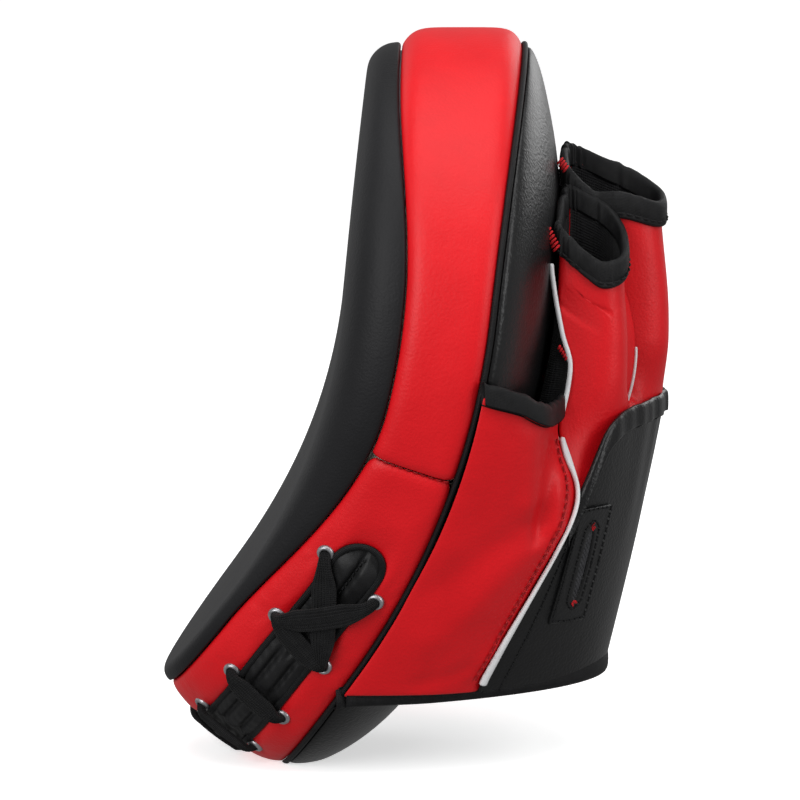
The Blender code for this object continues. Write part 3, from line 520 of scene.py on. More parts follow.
def threads(name, runs, look, body="mitt"):
    """Short arched lengths of thread, one for each (start, end, out, rise, radius)."""
    points = []
    faces = []
    sides = 6
    for start, end, out, rise, radius in runs:
        base = len(points)
        along = (end - start).normalized()
        side = along.cross(out).normalized()
        rings = (0.0, 0.18, 0.5, 0.82, 1.0)
        for share in rings:
            lift = rise * (1.0 - (2.0 * share - 1.0) ** 2) - 0.5 * radius
            thin = 0.55 if share in (0.0, 1.0) else 1.0
            centre = start.lerp(end, share) + out * lift
            for n in range(sides):
                a = 2.0 * math.pi * n / sides
                points.append(centre + radius * thin * (math.cos(a) * side + math.sin(a) * out))
        for r in range(len(rings) - 1):
            for n in range(sides):
                m = (n + 1) % sides
                low = base + r * sides
                faces.append([low + n, low + m, low + sides + m, low + sides + n])
        faces.append([base + n for n in reversed(range(sides))])
        faces.append([base + (len(rings) - 1) * sides + n for n in range(sides)])
    mesh = bpy.data.meshes.new(name)
    mesh.from_pydata(points, [], faces)
    work = bmesh.new()
    work.from_mesh(mesh)
    bmesh.ops.recalc_face_normals(work, faces=work.faces)
    work.to_mesh(mesh)
    work.free()
    uv_from_rows(mesh, [(p[0] + p[1], p[2]) for p in points])
    return add_object(name, mesh, look, body=body)


def stitches(name, path, outs, look, pitch=0.0030, length=0.0023, lift=0.0, radius=THREAD, body="mitt"):
    """A row of lockstitches along a path on a surface."""
    runs = []
    for place, direction, out in along_path(path, outs, pitch):
        half = direction * (length / 2.0)
        spot = place + out * lift
        runs.append((spot - half, spot + half, out, 0.0004, radius))
    return threads(name, runs, look, body=body)


def bar_tack(name, start, end, out, width, turns=6, look="red_thread", radius=0.00045):
    """A thick tack of thread turns across the line from start to end."""
    along = end - start
    side = along.cross(out).normalized()
    runs = []
    for k in range(turns):
        spot = start + along * ((k + 0.5) / turns)
        slant = along * (0.35 / turns)
        runs.append((spot - side * width / 2.0 - slant, spot + side * width / 2.0 + slant, out, 0.0007, radius))
    return threads(name, runs, look)


# ---------------------------------------------------------------- the pad's layout


def spine(v):
    """(y, z, angle) of the strike face at distance v from the top."""
    v_arc = min(max(v - STRAIGHT_TOP, 0.0), BEND_RADIUS * BEND_ANGLE)
    angle = LEAN + v_arc / BEND_RADIUS
    start = v if v < STRAIGHT_TOP else STRAIGHT_TOP
    y = PAD_TOP_Y - start * math.sin(LEAN)
    z = PAD_TOP_Z - start * math.cos(LEAN)
    y += BEND_RADIUS * (math.cos(angle) - math.cos(LEAN))
    z -= BEND_RADIUS * (math.sin(angle) - math.sin(LEAN))
    rest = max(v - STRAIGHT_TOP - BEND_RADIUS * BEND_ANGLE, 0.0)
    return y - rest * math.sin(angle), z - rest * math.cos(angle), angle


LEVEL_REACH = 0.025


def pad_point(u, v, w):
    """The pad's layout bent into its curve; near the top it is sheared so that its top stays level."""
    v -= w * math.tan(LEAN) * (1.0 - smooth(v / LEVEL_REACH))
    y, z, angle = spine(v)
    return Vector((u, y + w * math.cos(angle), z - w * math.sin(angle)))


def thickness(v):
    swell = (2.0 * v / PAD_LENGTH - 1.0) ** 2
    return PAD_THICKNESS_MIDDLE + (PAD_THICKNESS_ENDS - PAD_THICKNESS_MIDDLE) * swell


def wrap(v):
    rise = smooth(v / WRAP_RISE_END)
    fall = smooth((v - WRAP_FALL_START) / (WRAP_FALL_END - WRAP_FALL_START))
    return WRAP_TOP + (WRAP_SIDE - WRAP_TOP) * rise - (WRAP_SIDE - WRAP_BOTTOM) * fall


def slot_depth(v):
    return (wrap(v) + thickness(v)) / 2.0


TOP_CENTRE = PAD_TOP_RADIUS
BOTTOM_CENTRE = PAD_LENGTH - PAD_BOTTOM_RADIUS
TAPER = math.asin((PAD_TOP_RADIUS - PAD_BOTTOM_RADIUS) / (BOTTOM_CENTRE - TOP_CENTRE))
BOTTOM_ARC = PAD_BOTTOM_RADIUS * (math.pi / 2.0 - TAPER)
STRAIGHT_SIDE = (BOTTOM_CENTRE - TOP_CENTRE) * math.cos(TAPER)
TOP_ARC = PAD_TOP_RADIUS * (math.pi / 2.0 + TAPER)
HALF_OUTLINE = BOTTOM_ARC + STRAIGHT_SIDE + TOP_ARC


def outline(s):
    """(radius, centre, across, down) of the outline at distance s from the bottom middle."""
    side = 1.0 if s >= 0.0 else -1.0
    s = abs(s)
    if s > HALF_OUTLINE:
        side = -side
        s = 2.0 * HALF_OUTLINE - s
    if s <= BOTTOM_ARC:
        angle = s / PAD_BOTTOM_RADIUS
        radius = PAD_BOTTOM_RADIUS
        centre = BOTTOM_CENTRE
    elif s <= BOTTOM_ARC + STRAIGHT_SIDE:
        share = (s - BOTTOM_ARC) / STRAIGHT_SIDE
        angle = math.pi / 2.0 - TAPER
        radius = PAD_BOTTOM_RADIUS + (PAD_TOP_RADIUS - PAD_BOTTOM_RADIUS) * share
        centre = BOTTOM_CENTRE + (TOP_CENTRE - BOTTOM_CENTRE) * share
    else:
        angle = math.pi / 2.0 - TAPER + (s - BOTTOM_ARC - STRAIGHT_SIDE) / PAD_TOP_RADIUS
        radius = PAD_TOP_RADIUS
        centre = TOP_CENTRE
    return radius, centre, side * math.sin(angle), math.cos(angle)


def edge_v(s):
    radius, centre, _, down = outline(s)
    return centre + radius * down


def edge_point(s, inset, depth):
    """A point near the pad's edge; depth is a number or a function of v at the edge."""
    radius, centre, across, down = outline(s)
    w = depth(centre + radius * down) if callable(depth) else depth
    return pad_point((radius - inset) * across, centre + (radius - inset) * down, w)


def side_s(v):
    tangent_v = BOTTOM_CENTRE + PAD_BOTTOM_RADIUS * math.sin(TAPER)
    return BOTTOM_ARC + (tangent_v - v) / math.cos(TAPER)


def half_width(v):
    low = 0.0
    high = HALF_OUTLINE
    for _ in range(40):
        middle = (low + high) / 2.0
        if edge_v(middle) > v:
            low = middle
        else:
            high = middle
    radius, _, across, _ = outline(low)
    return radius * across


def round_stations(count):
    """Even distances all the way round; the count is even."""
    return [2.0 * HALF_OUTLINE * k / count for k in range(count)]


def edge_out(s):
    """Outward direction at the pad's edge."""
    depth = slot_depth(edge_v(s))
    return (edge_point(s, -0.001, depth) - edge_point(s, 0.001, depth)).normalized()


def edge_drop(s):
    """How far the covers' edges fall below the gusset's crown."""
    top = 1.0 - smooth(edge_v(s) / 0.050)
    return EDGE_DROP + EDGE_DROP_TOP * top


def gusset_inset(s, share, extra=0.0):
    """How far the gusset lies inside the outline; share 0 is its front seam and 1 its back seam."""
    fall = abs(2.0 * share - 1.0)
    shoulder = fall**7
    return edge_drop(s) * shoulder + extra


# ---------------------------------------------------------------- the pad's pieces


RING_COUNT = 180


def make_strike_cover():
    """Face leather: a slightly crowned face, a rounded edge and a side that turns into the seam."""
    rows = []
    stations = round_stations(RING_COUNT)

    def row(place):
        rows.append([place(s) for s in stations])

    for share in (0.05, 0.25, 0.45, 0.62, 0.76, 0.87, 0.94):
        def face(s, share=share):
            radius, centre, across, down = outline(s)
            round_off = edge_drop(s) + wrap(edge_v(s)) * 0.85
            reach = (radius - round_off) * share
            crown = 0.0012 * (1.0 - share**2)
            return pad_point(reach * across, centre + reach * down, -crown)
        row(face)
    for turn in spread(0.0, 1.0, 7):
        def edge(s, turn=turn):
            drop = edge_drop(s) - 0.0006
            radius = wrap(edge_v(s)) * 0.85
            a = turn * math.pi / 2.0
            return edge_point(s, drop + radius - radius * math.sin(a), radius - radius * math.cos(a))
        row(edge)
    row(lambda s: edge_point(s, edge_drop(s) - 0.0006, 0.97 * wrap(edge_v(s)) - 0.0006))
    row(lambda s: edge_point(s, edge_drop(s) - 0.0001, wrap(edge_v(s)) - 0.0002))
    row(lambda s: edge_point(s, edge_drop(s) + 0.0016, wrap(edge_v(s)) + 0.0001))
    cover = sheet_of("strike_face_leather", rows, "face", loop=True, cap=True)
    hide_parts("strike_face_cover")


def gusset_rows(stations, shares, puckers=None):
    rows = []
    for s in stations:
        v = edge_v(s)
        front = wrap(v) + 0.0004
        back = thickness(v) - 0.0008
        row = []
        for share in shares:
            inset = gusset_inset(s, share)
            if puckers:
                inset += puckers(s, mix(front, back, share))
            row.append(edge_point(s, inset, mix(front, back, share)))
        first = edge_point(s, gusset_inset(s, 0.0) + 0.0018, front - 0.0002)
        last = edge_point(s, gusset_inset(s, 1.0) + 0.0018, back + 0.0002)
        rows.append([first, *row, last])
    return rows


GUSSET_SHARES = (0.0, 0.03, 0.07, 0.12, 0.18, 0.26, 0.38, 0.5, 0.62, 0.74, 0.82, 0.88, 0.93, 0.97, 1.0)


def cross_seam_dip(s, seam):
    """The band dips into the seam that crosses it."""
    return 0.0009 * bump_at(s, seam, 0.0011)


def make_upper_gusset():
    seam = side_s(CROSS_SEAM_V)
    first = seam + 0.0002
    last = 2.0 * HALF_OUTLINE - first
    near = [first + d for d in (0.0, 0.0008, 0.0018, 0.004)]
    stations = near + spread(first + 0.008, last - 0.008, 110) + [2.0 * HALF_OUTLINE - s for s in reversed(near)]

    def dip(s, _):
        return cross_seam_dip(s, first) + cross_seam_dip(s, last)

    band = sheet_of("gusset_upper_leather", gusset_rows(stations, GUSSET_SHARES, dip), "red")
    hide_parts("gusset_upper")


def eyelet_spots():
    """(row, edge name, s, depth) of every eyelet."""
    spots = []
    for row in range(-LACE_ROWS, LACE_ROWS + 1):
        for edge, sign in (("front", -1.0), ("back", 1.0)):
            s = row * (EYELET_PITCH - sign * EYELET_STAGGER / LACE_ROWS)
            spots.append((row, edge, s, slot_depth(edge_v(s)) + sign * EYELET_OFFSET))
    return spots


EYELETS = eyelet_spots()


def lace_puckers(s, depth):
    """Gathers that run from each eyelet, where the lace pulls the band."""
    total = 0.0
    for row, _, eyelet_s, eyelet_depth in EYELETS:
        a = s - eyelet_s
        b = depth - eyelet_depth
        reach = math.hypot(a, b)
        if reach < 0.016:
            angle = math.atan2(b, a)
            fade = math.exp(-((reach / 0.0075) ** 2)) * smooth((reach - 0.0022) / 0.003)
            total += 0.00042 * fade * math.cos(9.0 * angle + row)
            total += 0.0007 * math.exp(-((reach / 0.0045) ** 2))
    return total


def track_point(share, half):
    """A point on the slot's rounded outline, as (s, depth offset, reach along, reach across)."""
    straight = SLOT_END - SLOT_HALF
    side = 2.0 * straight
    arc = math.pi * half
    total = 2.0 * (side + arc)
    at = (share % 1.0) * total
    if at < side:
        return -straight + at, half
    at -= side
    if at < arc:
        turn = at / half
        return straight + half * math.sin(turn), half * math.cos(turn)
    at -= arc
    if at < side:
        return straight - at, -half
    turn = (at - side) / half
    return -straight - half * math.sin(turn), -half * math.cos(turn)


def make_lower_gusset():
    """The red band with the lace slot, laid out in rings round the slot."""
    straight = SLOT_END - SLOT_HALF
    seam = side_s(CROSS_SEAM_V) - 0.0002
    columns = []
    for s in spread(-straight, straight, 108)[:-1]:
        columns.append(((s, 1.0), (s, 1.0)))
    turns = spread(0.0, math.pi, 20)
    for k, turn in enumerate(turns[:-1]):
        columns.append(((straight, turn), end_border(k / 20.0, straight, seam)))
    for s in spread(straight, -straight, 108)[:-1]:
        columns.append(((s, -1.0), (s, -1.0)))
    for k, turn in enumerate(turns[:-1]):
        out_s, out_q = end_border(k / 20.0, straight, seam)
        columns.append(((-straight, turn + math.pi), (-out_s, -out_q)))
    hole = SLOT_HALF - 0.0006
    rows = []
    steps = (0.0, 0.04, 0.12, 0.22, 0.34, 0.48, 0.62, 0.75, 0.86, 0.94, 1.0)
    for step in steps:
        row = []
        for (s, turn), (border_s, border_q) in columns:
            if turn in (1.0, -1.0) and abs(s) <= straight and border_s == s:
                slot_s, slot_q = s, turn * hole
            elif s > 0.0:
                slot_s, slot_q = straight + hole * math.sin(turn), hole * math.cos(turn)
            else:
                slot_s, slot_q = -straight + hole * math.sin(turn), hole * math.cos(turn)
            row.append(lower_gusset_point(slot_s, slot_q, border_s, border_q, step))
        rows.append(row)
    turned = []
    for (s, turn), (border_s, border_q) in columns:
        v = edge_v(border_s)
        share = (border_q + 1.0) / 2.0
        depth = mix(wrap(v) + 0.0002, thickness(v) - 0.0006, share)
        turned.append(edge_point(border_s, gusset_inset(border_s, 0.0 if abs(border_q) == 1.0 else share) + 0.0018, depth))
    rows.append(turned)
    band = sheet_of("gusset_lower_leather", rows, "red", loop=True)
    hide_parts("gusset_lower")


def end_border(share, straight, seam):
    """A point on the band's border past the slot's end: along the back, across, and along the front."""
    length = seam - straight
    across = 0.034
    total = 2.0 * length + across
    at = share * total
    if at < length:
        return straight + at, 1.0
    if at < length + across:
        return seam, 1.0 - 2.0 * (at - length) / across
    return seam - (at - length - across), -1.0


def lower_gusset_point(slot_s, slot_q, border_s, border_q, step):
    v_border = edge_v(border_s)
    front = wrap(v_border) + 0.0004
    back = thickness(v_border) - 0.0008
    border_depth = mix(front, back, (border_q + 1.0) / 2.0)
    slot_w = slot_depth(edge_v(slot_s)) + slot_q
    s = mix(slot_s, border_s, step)
    depth = mix(slot_w, border_depth, step)
    v = edge_v(s)
    share = (depth - wrap(v) - 0.0004) / (thickness(v) - wrap(v) - 0.0012)
    inset = gusset_inset(s, min(max(share, 0.0), 1.0))
    inset += 0.0008 * (1.0 - smooth(step / 0.15)) - 0.0006 * bump_at(step, 0.3, 0.2)
    inset += lace_puckers(s, depth)
    inset += cross_seam_dip(abs(s), side_s(CROSS_SEAM_V) - 0.0002)
    return edge_point(s, inset, depth)


def make_slot_binding():
    """Rolled binding round the lace slot."""
    count = 260
    path = []
    for k in range(count):
        s, across = track_point(k / count, SLOT_HALF - 0.0004)
        path.append(edge_point(s, -0.0002, slot_depth(edge_v(s)) + across))
    outs = [edge_out(track_point(k / count, SLOT_HALF)[0]) for k in range(count)]
    profile = [(0.0013 * math.cos(a), 0.0009 * math.sin(a)) for a in spread(0.0, 2.0 * math.pi, 10)[:-1]]
    roll = sweep("slot_edge_binding", frames_along(path, outs, loop=True), profile, "binding", loop=True)
    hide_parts("slot_binding")


def tongue_height(s, across):
    """Quilted height of the tongue over its seat: two lobes at its ends and three along the middle."""
    ends = smooth((abs(s) - 2.6 * EYELET_PITCH) / (0.5 * EYELET_PITCH))
    half = SLOT_HALF
    x = across / half
    side = math.sqrt(max(1.0 - min(abs(x), 1.0) ** 2.4, 0.0))
    two = 1.0 - 0.8 * bump_at(x, 0.0, 0.13)
    three = 1.0 - 0.7 * (bump_at(x, 0.36, 0.12) + bump_at(x, -0.36, 0.12))
    lobes = mix(three, two, ends)
    pull = 0.0
    for row in range(-LACE_ROWS + 2, LACE_ROWS - 1):
        pull += bump_at(s, row * EYELET_PITCH, 0.0052)
    pull += 0.8 * sum(bump_at(abs(s), k * EYELET_PITCH, 0.0075) for k in (3.15, 3.65))
    wrinkle = 0.00012 * math.sin(s * 1500.0 + 7.0 * x)
    return side * (0.0016 + 0.0030 * lobes * (1.0 - 0.72 * min(pull, 1.0))) + wrinkle


def make_tongue():
    rows = []
    last = SLOT_END - 0.0004
    for s in spread(-last, last, 260):
        v = edge_v(s)
        past = max(abs(s) - (SLOT_END - SLOT_HALF), 0.0)
        half = math.sqrt(max(SLOT_HALF**2 - past**2, 0.0)) + 0.0004
        close = smooth((SLOT_END - abs(s)) / 0.009)
        row = []
        for x in spread(-1.0, 1.0, 28):
            across = x * half
            lift = tongue_height(s, x * SLOT_HALF) * close
            row.append(edge_point(s, 0.0020 - lift, slot_depth(v) + across))
        rows.append(row)
    tongue = sheet_of("padded_lace_tongue", rows, "tongue", wall=0.0010, levels=1)
    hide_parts("lace_tongue")
    path = []
    outs = []
    for s in spread(3.6 * EYELET_PITCH, last - 0.004, 12):
        path.append(edge_point(s, 0.0014 - tongue_height(s, 0.0), slot_depth(edge_v(s))))
        outs.append(edge_out(s))
    stitches("tongue_stitching_near", path, outs, "black_thread", pitch=0.0022, length=0.0017)


def make_eyelets():
    """Flanged rings pressed through the band beside the slot."""
    profile = [
        (0.0013, -0.0012), (0.0014, 0.0003), (0.0017, 0.0009), (0.0022, 0.0011), (0.0027, 0.0008),
        (0.0030, 0.0002), (0.0030, -0.0004), (0.0020, -0.0006),
    ]
    sides = 28
    for row, edge, s, depth in EYELETS:
        place = edge_point(s, gusset_inset(s, 0.5) + 0.0001, depth)
        out = edge_out(s)
        across = (edge_point(s, 0.0, depth + 0.001) - edge_point(s, 0.0, depth)).normalized()
        along = out.cross(across).normalized()
        frames = []
        for n in range(sides):
            a = 2.0 * math.pi * n / sides
            spoke = math.cos(a) * along + math.sin(a) * across
            frames.append((place, spoke, out, 1.0, 1.0))
        side = "near" if row > 0 else "far"
        tag = f"{side}_{abs(row)}" if row else "bottom"
        ring = sweep(f"eyelet_ring_{edge}_{tag}", frames, profile, "metal", loop=True, levels=0)
        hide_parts(f"eyelet_{edge}_{tag}")


def lace_band(name, start, end, lift, nodes=(), narrow=0.42):
    """A ribbed elastic lace from one eyelet to another; start and end are (s, across)."""
    steps = 26
    width = 0.0086
    path = []
    outs = []
    for k in range(steps + 1):
        share = k / steps
        s = mix(start[0], end[0], share)
        across = mix(start[1], end[1], share)
        over = math.sin(math.pi * share) ** 0.5
        dive = 1.0 - smooth(min(share, 1.0 - share) / 0.07)
        height = 0.0006 + lift * over + 0.0008 * smooth(min(share, 1.0 - share) / 0.15) - 0.0022 * dive
        path.append(edge_point(s, -height, slot_depth(edge_v(s)) + across))
        outs.append(edge_out(s))

    def spread_out(share):
        return narrow + (1.0 - narrow) * smooth(min(share, 1.0 - share) / 0.30)

    def thick(share):
        return 1.0 + 0.7 * (1.0 - smooth(min(share, 1.0 - share) / 0.25))

    profile = band_profile(width, 0.0011, ribs=8, rib=0.00014, crown=0.0003)
    band = sweep(name, frames_along(path, outs, spread_out, thick), profile, "lace")
    if nodes:
        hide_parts(*nodes)
    return band


def make_laces():
    def eye(row, across_sign):
        return row * (EYELET_PITCH - across_sign * EYELET_STAGGER / LACE_ROWS), across_sign * EYELET_OFFSET

    for side, sign in (("near", 1), ("far", -1)):
        upper = sign * LACE_ROWS
        lower = sign * (LACE_ROWS - 1)
        lace_band(f"lace_under_{side}", eye(upper, -1), eye(lower, 1), 0.0016)
        lace_band(f"lace_over_{side}", eye(lower, -1), eye(upper, 1), 0.0032, [f"lace_crossing_{side}"])
        lace_band(f"lace_row_{side}_3", eye(lower, -1), eye(lower, 1), 0.0010)
        for row in range(LACE_ROWS - 2, 0, -1):
            lace_band(f"lace_row_{side}_{row}", eye(sign * row, -1), eye(sign * row, 1), 0.0014,
                      [f"lace_bar_{side}_{row}"])
    lace_band("lace_row_bottom", eye(0, -1), eye(0, 1), 0.0014, ["lace_bar_bottom"])


def make_cross_seams():
    """The line of stitches beside each seam across the band."""
    for side, sign in (("near", 1.0), ("far", -1.0)):
        s = sign * (side_s(CROSS_SEAM_V))
        v = edge_v(s)
        path = []
        outs = []
        for share in spread(0.06, 0.94, 20):
            depth = mix(wrap(v), thickness(v), share)
            path.append(edge_point(s, gusset_inset(s, share) + 0.0010, depth))
            outs.append(edge_out(s))
        stitches(f"cross_seam_stitching_{side}", path, outs, "dark_red_thread", pitch=0.0026, length=0.0020)


def dome_depth(share, v):
    rise = max(1.0 - share * share, 0.0) ** DOME_FULLNESS
    return thickness(v) + DOME_START + DOME_RISE * rise


def dome_share(u, v):
    u = abs(u)
    centre = v - u * math.tan(TAPER)
    if centre < TOP_CENTRE:
        return math.hypot(u, v - TOP_CENTRE) / PAD_TOP_RADIUS
    if centre > BOTTOM_CENTRE:
        return math.hypot(u, v - BOTTOM_CENTRE) / PAD_BOTTOM_RADIUS
    part = (centre - TOP_CENTRE) / (BOTTOM_CENTRE - TOP_CENTRE)
    radius = PAD_TOP_RADIUS + (PAD_BOTTOM_RADIUS - PAD_TOP_RADIUS) * part
    return u / (radius * math.cos(TAPER))


def make_back_cover():
    """Domed back leather, turned in at the rolled seam."""
    rows = []
    for share in (0.05, 0.2, 0.35, 0.5, 0.63, 0.74, 0.83, 0.89, 0.93, 0.96, 0.98, 0.992):
        row = []
        for s in round_stations(RING_COUNT):
            radius, centre, across, down = outline(s)
            reach = (radius - edge_drop(s)) * share
            row.append(pad_point(reach * across, centre + reach * down, dome_depth(share, centre + reach * down)))
        rows.append(row)
    rows.append([edge_point(s, edge_drop(s) + 0.0002, lambda v: thickness(v) + 0.0010) for s in round_stations(RING_COUNT)])
    rows.append([edge_point(s, edge_drop(s) + 0.0022, lambda v: thickness(v) + 0.0006) for s in round_stations(RING_COUNT)])
    cover = sheet_of("back_cover_leather", rows, "black", loop=True, cap=True)
    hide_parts("back_cover")


def make_layer(name, nodes, look, levels):
    """A hidden layer of the pad: levels holds (inset, depth) from its front edge to its back edge."""
    rows = []
    front_depth = levels[0][1]
    back_depth = levels[-1][1]

    def face(share, depth, inset):
        row = []
        for s in round_stations(72):
            radius, centre, across, down = outline(s)
            reach = (radius - inset) * share
            x = reach * across
            v = centre + reach * down
            row.append(pad_point(x, v, depth(x, v)))
        return row

    rows += [face(share, front_depth, levels[0][0]) for share in (0.1, 0.5, 0.9)]
    rows += [face(1.0, depth, inset) for inset, depth in levels]
    rows += [face(share, back_depth, levels[-1][0]) for share in (0.9, 0.5, 0.1)]
    layer = sheet_of(name, rows, look, wall=0.0, loop=True, cap="both", levels=0)
    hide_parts(nodes)
    return layer


def make_pad_layers():
    """Foam and board inside the covers, kept clear of the turned-in seams."""
    def flat(depth):
        return lambda x, v: depth

    def under_dome(x, v):
        return dome_depth(dome_share(x, v), v) - 0.0042

    side = 0.0066
    make_layer("impact_foam_block", "impact_foam", "impact",
               [(0.0200, flat(0.0022)), (0.0085, flat(0.0075)), (side, flat(0.0166))])
    make_layer("core_foam_block", "core_foam", "soft", [(side, flat(0.0170)), (side, flat(0.0391))])
    make_layer("stiffener_sheet", "stiffener_board", "board", [(side, flat(0.0394)), (side, flat(0.0414))])
    make_layer("palm_foam_block", "palm_foam", "soft",
               [(0.0120, flat(0.0417)), (0.0120, under_dome), (0.0250, under_dome), (0.0400, under_dome)])


def make_seam_roll():
    """The rolled black cord in the seam between the gusset and the back cover."""
    count = 360
    stations = round_stations(count)
    path = [edge_point(s, edge_drop(s) - 0.0004, thickness) for s in stations]
    outs = [edge_out(s) for s in stations]
    profile = [(0.0011 * math.cos(a), 0.0011 * math.sin(a)) for a in spread(0.0, 2.0 * math.pi, 8)[:-1]]
    roll = sweep("back_seam_roll", frames_along(path, outs, loop=True), profile, "binding", loop=True)
    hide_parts("back_seam_cord")


# ---------------------------------------------------------------- the glove's layout


def v_at(z, depth):
    """Distance v where the surface at depth(v) reaches height z."""
    low = 0.0
    high = PAD_LENGTH
    for _ in range(30):
        middle = (low + high) / 2.0
        if pad_point(0.0, middle, depth(middle)).z > z:
            low = middle
        else:
            high = middle
    return (low + high) / 2.0


def dome_place(x, z):
    """How far back the domed cover is at sideways place x and height z."""
    v = v_at(z, lambda v: dome_depth(dome_share(x, v), v))
    return pad_point(x, v, dome_depth(dome_share(x, v), v)).y


TABLE_X = np.array(spread(0.0, 0.092, 23))
TABLE_Z = np.array(spread(-0.050, 0.170, 44))
TABLE_DOME = np.array([[dome_place(x, z) for z in TABLE_Z] for x in TABLE_X])
TABLE_HALF = np.array([half_width(v_at(z, thickness)) for z in TABLE_Z])
TABLE_SEAM = np.array([pad_point(0.0, v_at(z, thickness), thickness(v_at(z, thickness))).y for z in TABLE_Z])


def dome_at(x, z):
    """dome_place, read from a table of it."""
    at = np.interp(abs(x), TABLE_X, np.arange(len(TABLE_X)))
    low = min(int(at), len(TABLE_X) - 2)
    near = np.interp(z, TABLE_Z, TABLE_DOME[low])
    far = np.interp(z, TABLE_Z, TABLE_DOME[low + 1])
    return mix(near, far, at - low)


def seam_half(z):
    return float(np.interp(z, TABLE_Z, TABLE_HALF))


def seam_y(z):
    return float(np.interp(z, TABLE_Z, TABLE_SEAM)) + 0.0010


def rise_share(z):
    return min(max((z - HEM_BOTTOM_Z) / (KNUCKLE_Z - HEM_BOTTOM_Z), 0.0), 1.0)


def hand_back_y(z):
    drop = max(1.0 - rise_share(z), 0.0) ** HAND_BACK_SLOPE_POWER
    return HAND_BACK_TOP_Y - HAND_BACK_SLOPE * drop


def arch(t, z, offset):
    """The glove's surface at angle t round the hand; its two edges run in to the pad's seam."""
    half = seam_half(z) - GLOVE_INSET
    base = dome_at(half - 0.0027, z) + 0.0006
    half += offset
    depth = hand_back_y(z) - base + offset
    power = mix(ARCH_POWER_HEM, ARCH_POWER_KNUCKLE, rise_share(z))
    c = math.cos(t)
    x = half * math.copysign(abs(c) ** (2.0 / power), c)
    y = base + depth * max(math.sin(t), 0.0) ** (2.0 / power)
    share = 1.0 - smooth(min(t, math.pi - t) / SKIRT_ANGLE)
    x = mix(x, math.copysign(seam_half(z) - edge_drop_at(z) + offset, x), share)
    return Vector((x, mix(y, seam_y(z) + offset, share), z))


SKIRT_ANGLE = math.radians(15.0)


def edge_drop_at(z):
    return EDGE_DROP - 0.0022 if z < 0.15 else EDGE_DROP


def arch_out(t, z):
    """Outward direction of the glove's surface."""
    step = 0.01
    across = arch(t + step, z, 0.0) - arch(t - step, z, 0.0)
    up = arch(t, z + 0.001, 0.0) - arch(t, z - 0.001, 0.0)
    return across.cross(up).normalized() * -1.0


def panel_edge(z):
    return mix(PANEL_EDGE_HEM, PANEL_EDGE_KNUCKLE, rise_share(z))


# The piping that joins the thumb's panel to the rest: how far out and how far back at each height.
PIPING_Z = (-0.0350, -0.0200, -0.0096, 0.0089, 0.0210, 0.0270, 0.0315, 0.0356, 0.0410, 0.0449, 0.0510, 0.0580,
            0.0645, 0.0685, 0.0725, 0.0772, 0.0819, 0.0950, 0.1062)
PIPING_Y = (-0.0184, -0.0108, -0.0052, 0.0048, 0.0108, 0.0130, 0.0136, 0.0130, 0.0108, 0.0094, 0.0077, 0.0084,
            0.0101, 0.0106, 0.0113, 0.0107, 0.0088, 0.0062, 0.0046)
PIPING_X_TOP = ((0.020, 0.0), (0.031, 0.0580), (0.045, 0.0560), (0.058, 0.0535), (0.066, 0.0522), (0.110, 0.0505))


def ease(z, zs, values):
    """Smooth curve through points, by rounding the straight runs between them."""
    reach = 0.0028
    return float(np.mean([np.interp(z + reach * k / 3.0, zs, values) for k in range(-3, 4)]))


def piping_point(z, offset=0.0):
    """Place of the thumb side's piping at height z."""
    y = ease(z, PIPING_Z, PIPING_Y)
    on_arch = arch(panel_edge(z), z, 0.0).x
    fixed = float(np.interp(z, [p[0] for p in PIPING_X_TOP], [p[1] or 0.058 for p in PIPING_X_TOP]))
    x = mix(on_arch, fixed, smooth((z - 0.012) / 0.026))
    return Vector((x + 0.7 * offset, y + 0.7 * offset, z))


THUMB_RIM = 0.0645
THUMB_RIM_DIP = 0.0095
THUMB_RIM_RISE = 0.0010


def thumb_rim(a):
    """Height of the thumb panel's upper edge, a 0 at the pad and 1 at the index finger."""
    return THUMB_RIM - THUMB_RIM_DIP * smooth(a / 0.75) + THUMB_RIM_RISE * smooth((a - 0.75) / 0.25)


def crease(place, start, end, height, width):
    """A ridge or a fold along a line seen from the side; start and end are (y, z)."""
    ax, ay = end[0] - start[0], end[1] - start[1]
    length = math.hypot(ax, ay)
    px, py = place.y - start[0], place.z - start[1]
    share = (px * ax + py * ay) / (length * length)
    off = abs(px * ay - py * ax) / length
    ends = smooth((share + 0.15) / 0.3) * smooth((1.15 - share) / 0.3)
    return height * ends * math.exp(-((off / width) ** 2))


THUMB_CREASES = (
    ((0.0060, 0.0560), (0.0015, 0.0180), -0.0022, 0.0030),
    ((-0.0010, 0.0560), (-0.0030, 0.0260), 0.0014, 0.0042),
    ((0.0080, 0.0400), (0.0065, 0.0180), 0.0012, 0.0030),
    ((0.0010, 0.0300), (-0.0010, 0.0150), -0.0008, 0.0018),
    ((0.0060, 0.0200), (-0.0400, -0.0220), 0.0013, 0.0060),
    ((-0.0050, 0.0220), (-0.0420, -0.0040), -0.0007, 0.0050),
    ((-0.0260, 0.0600), (-0.0300, 0.0100), 0.0008, 0.0070),
    ((-0.0200, -0.0280), (-0.0420, -0.0340), -0.0005, 0.0030),
    ((-0.0120, -0.0200), (-0.0240, -0.0330), 0.0005, 0.0026),
)


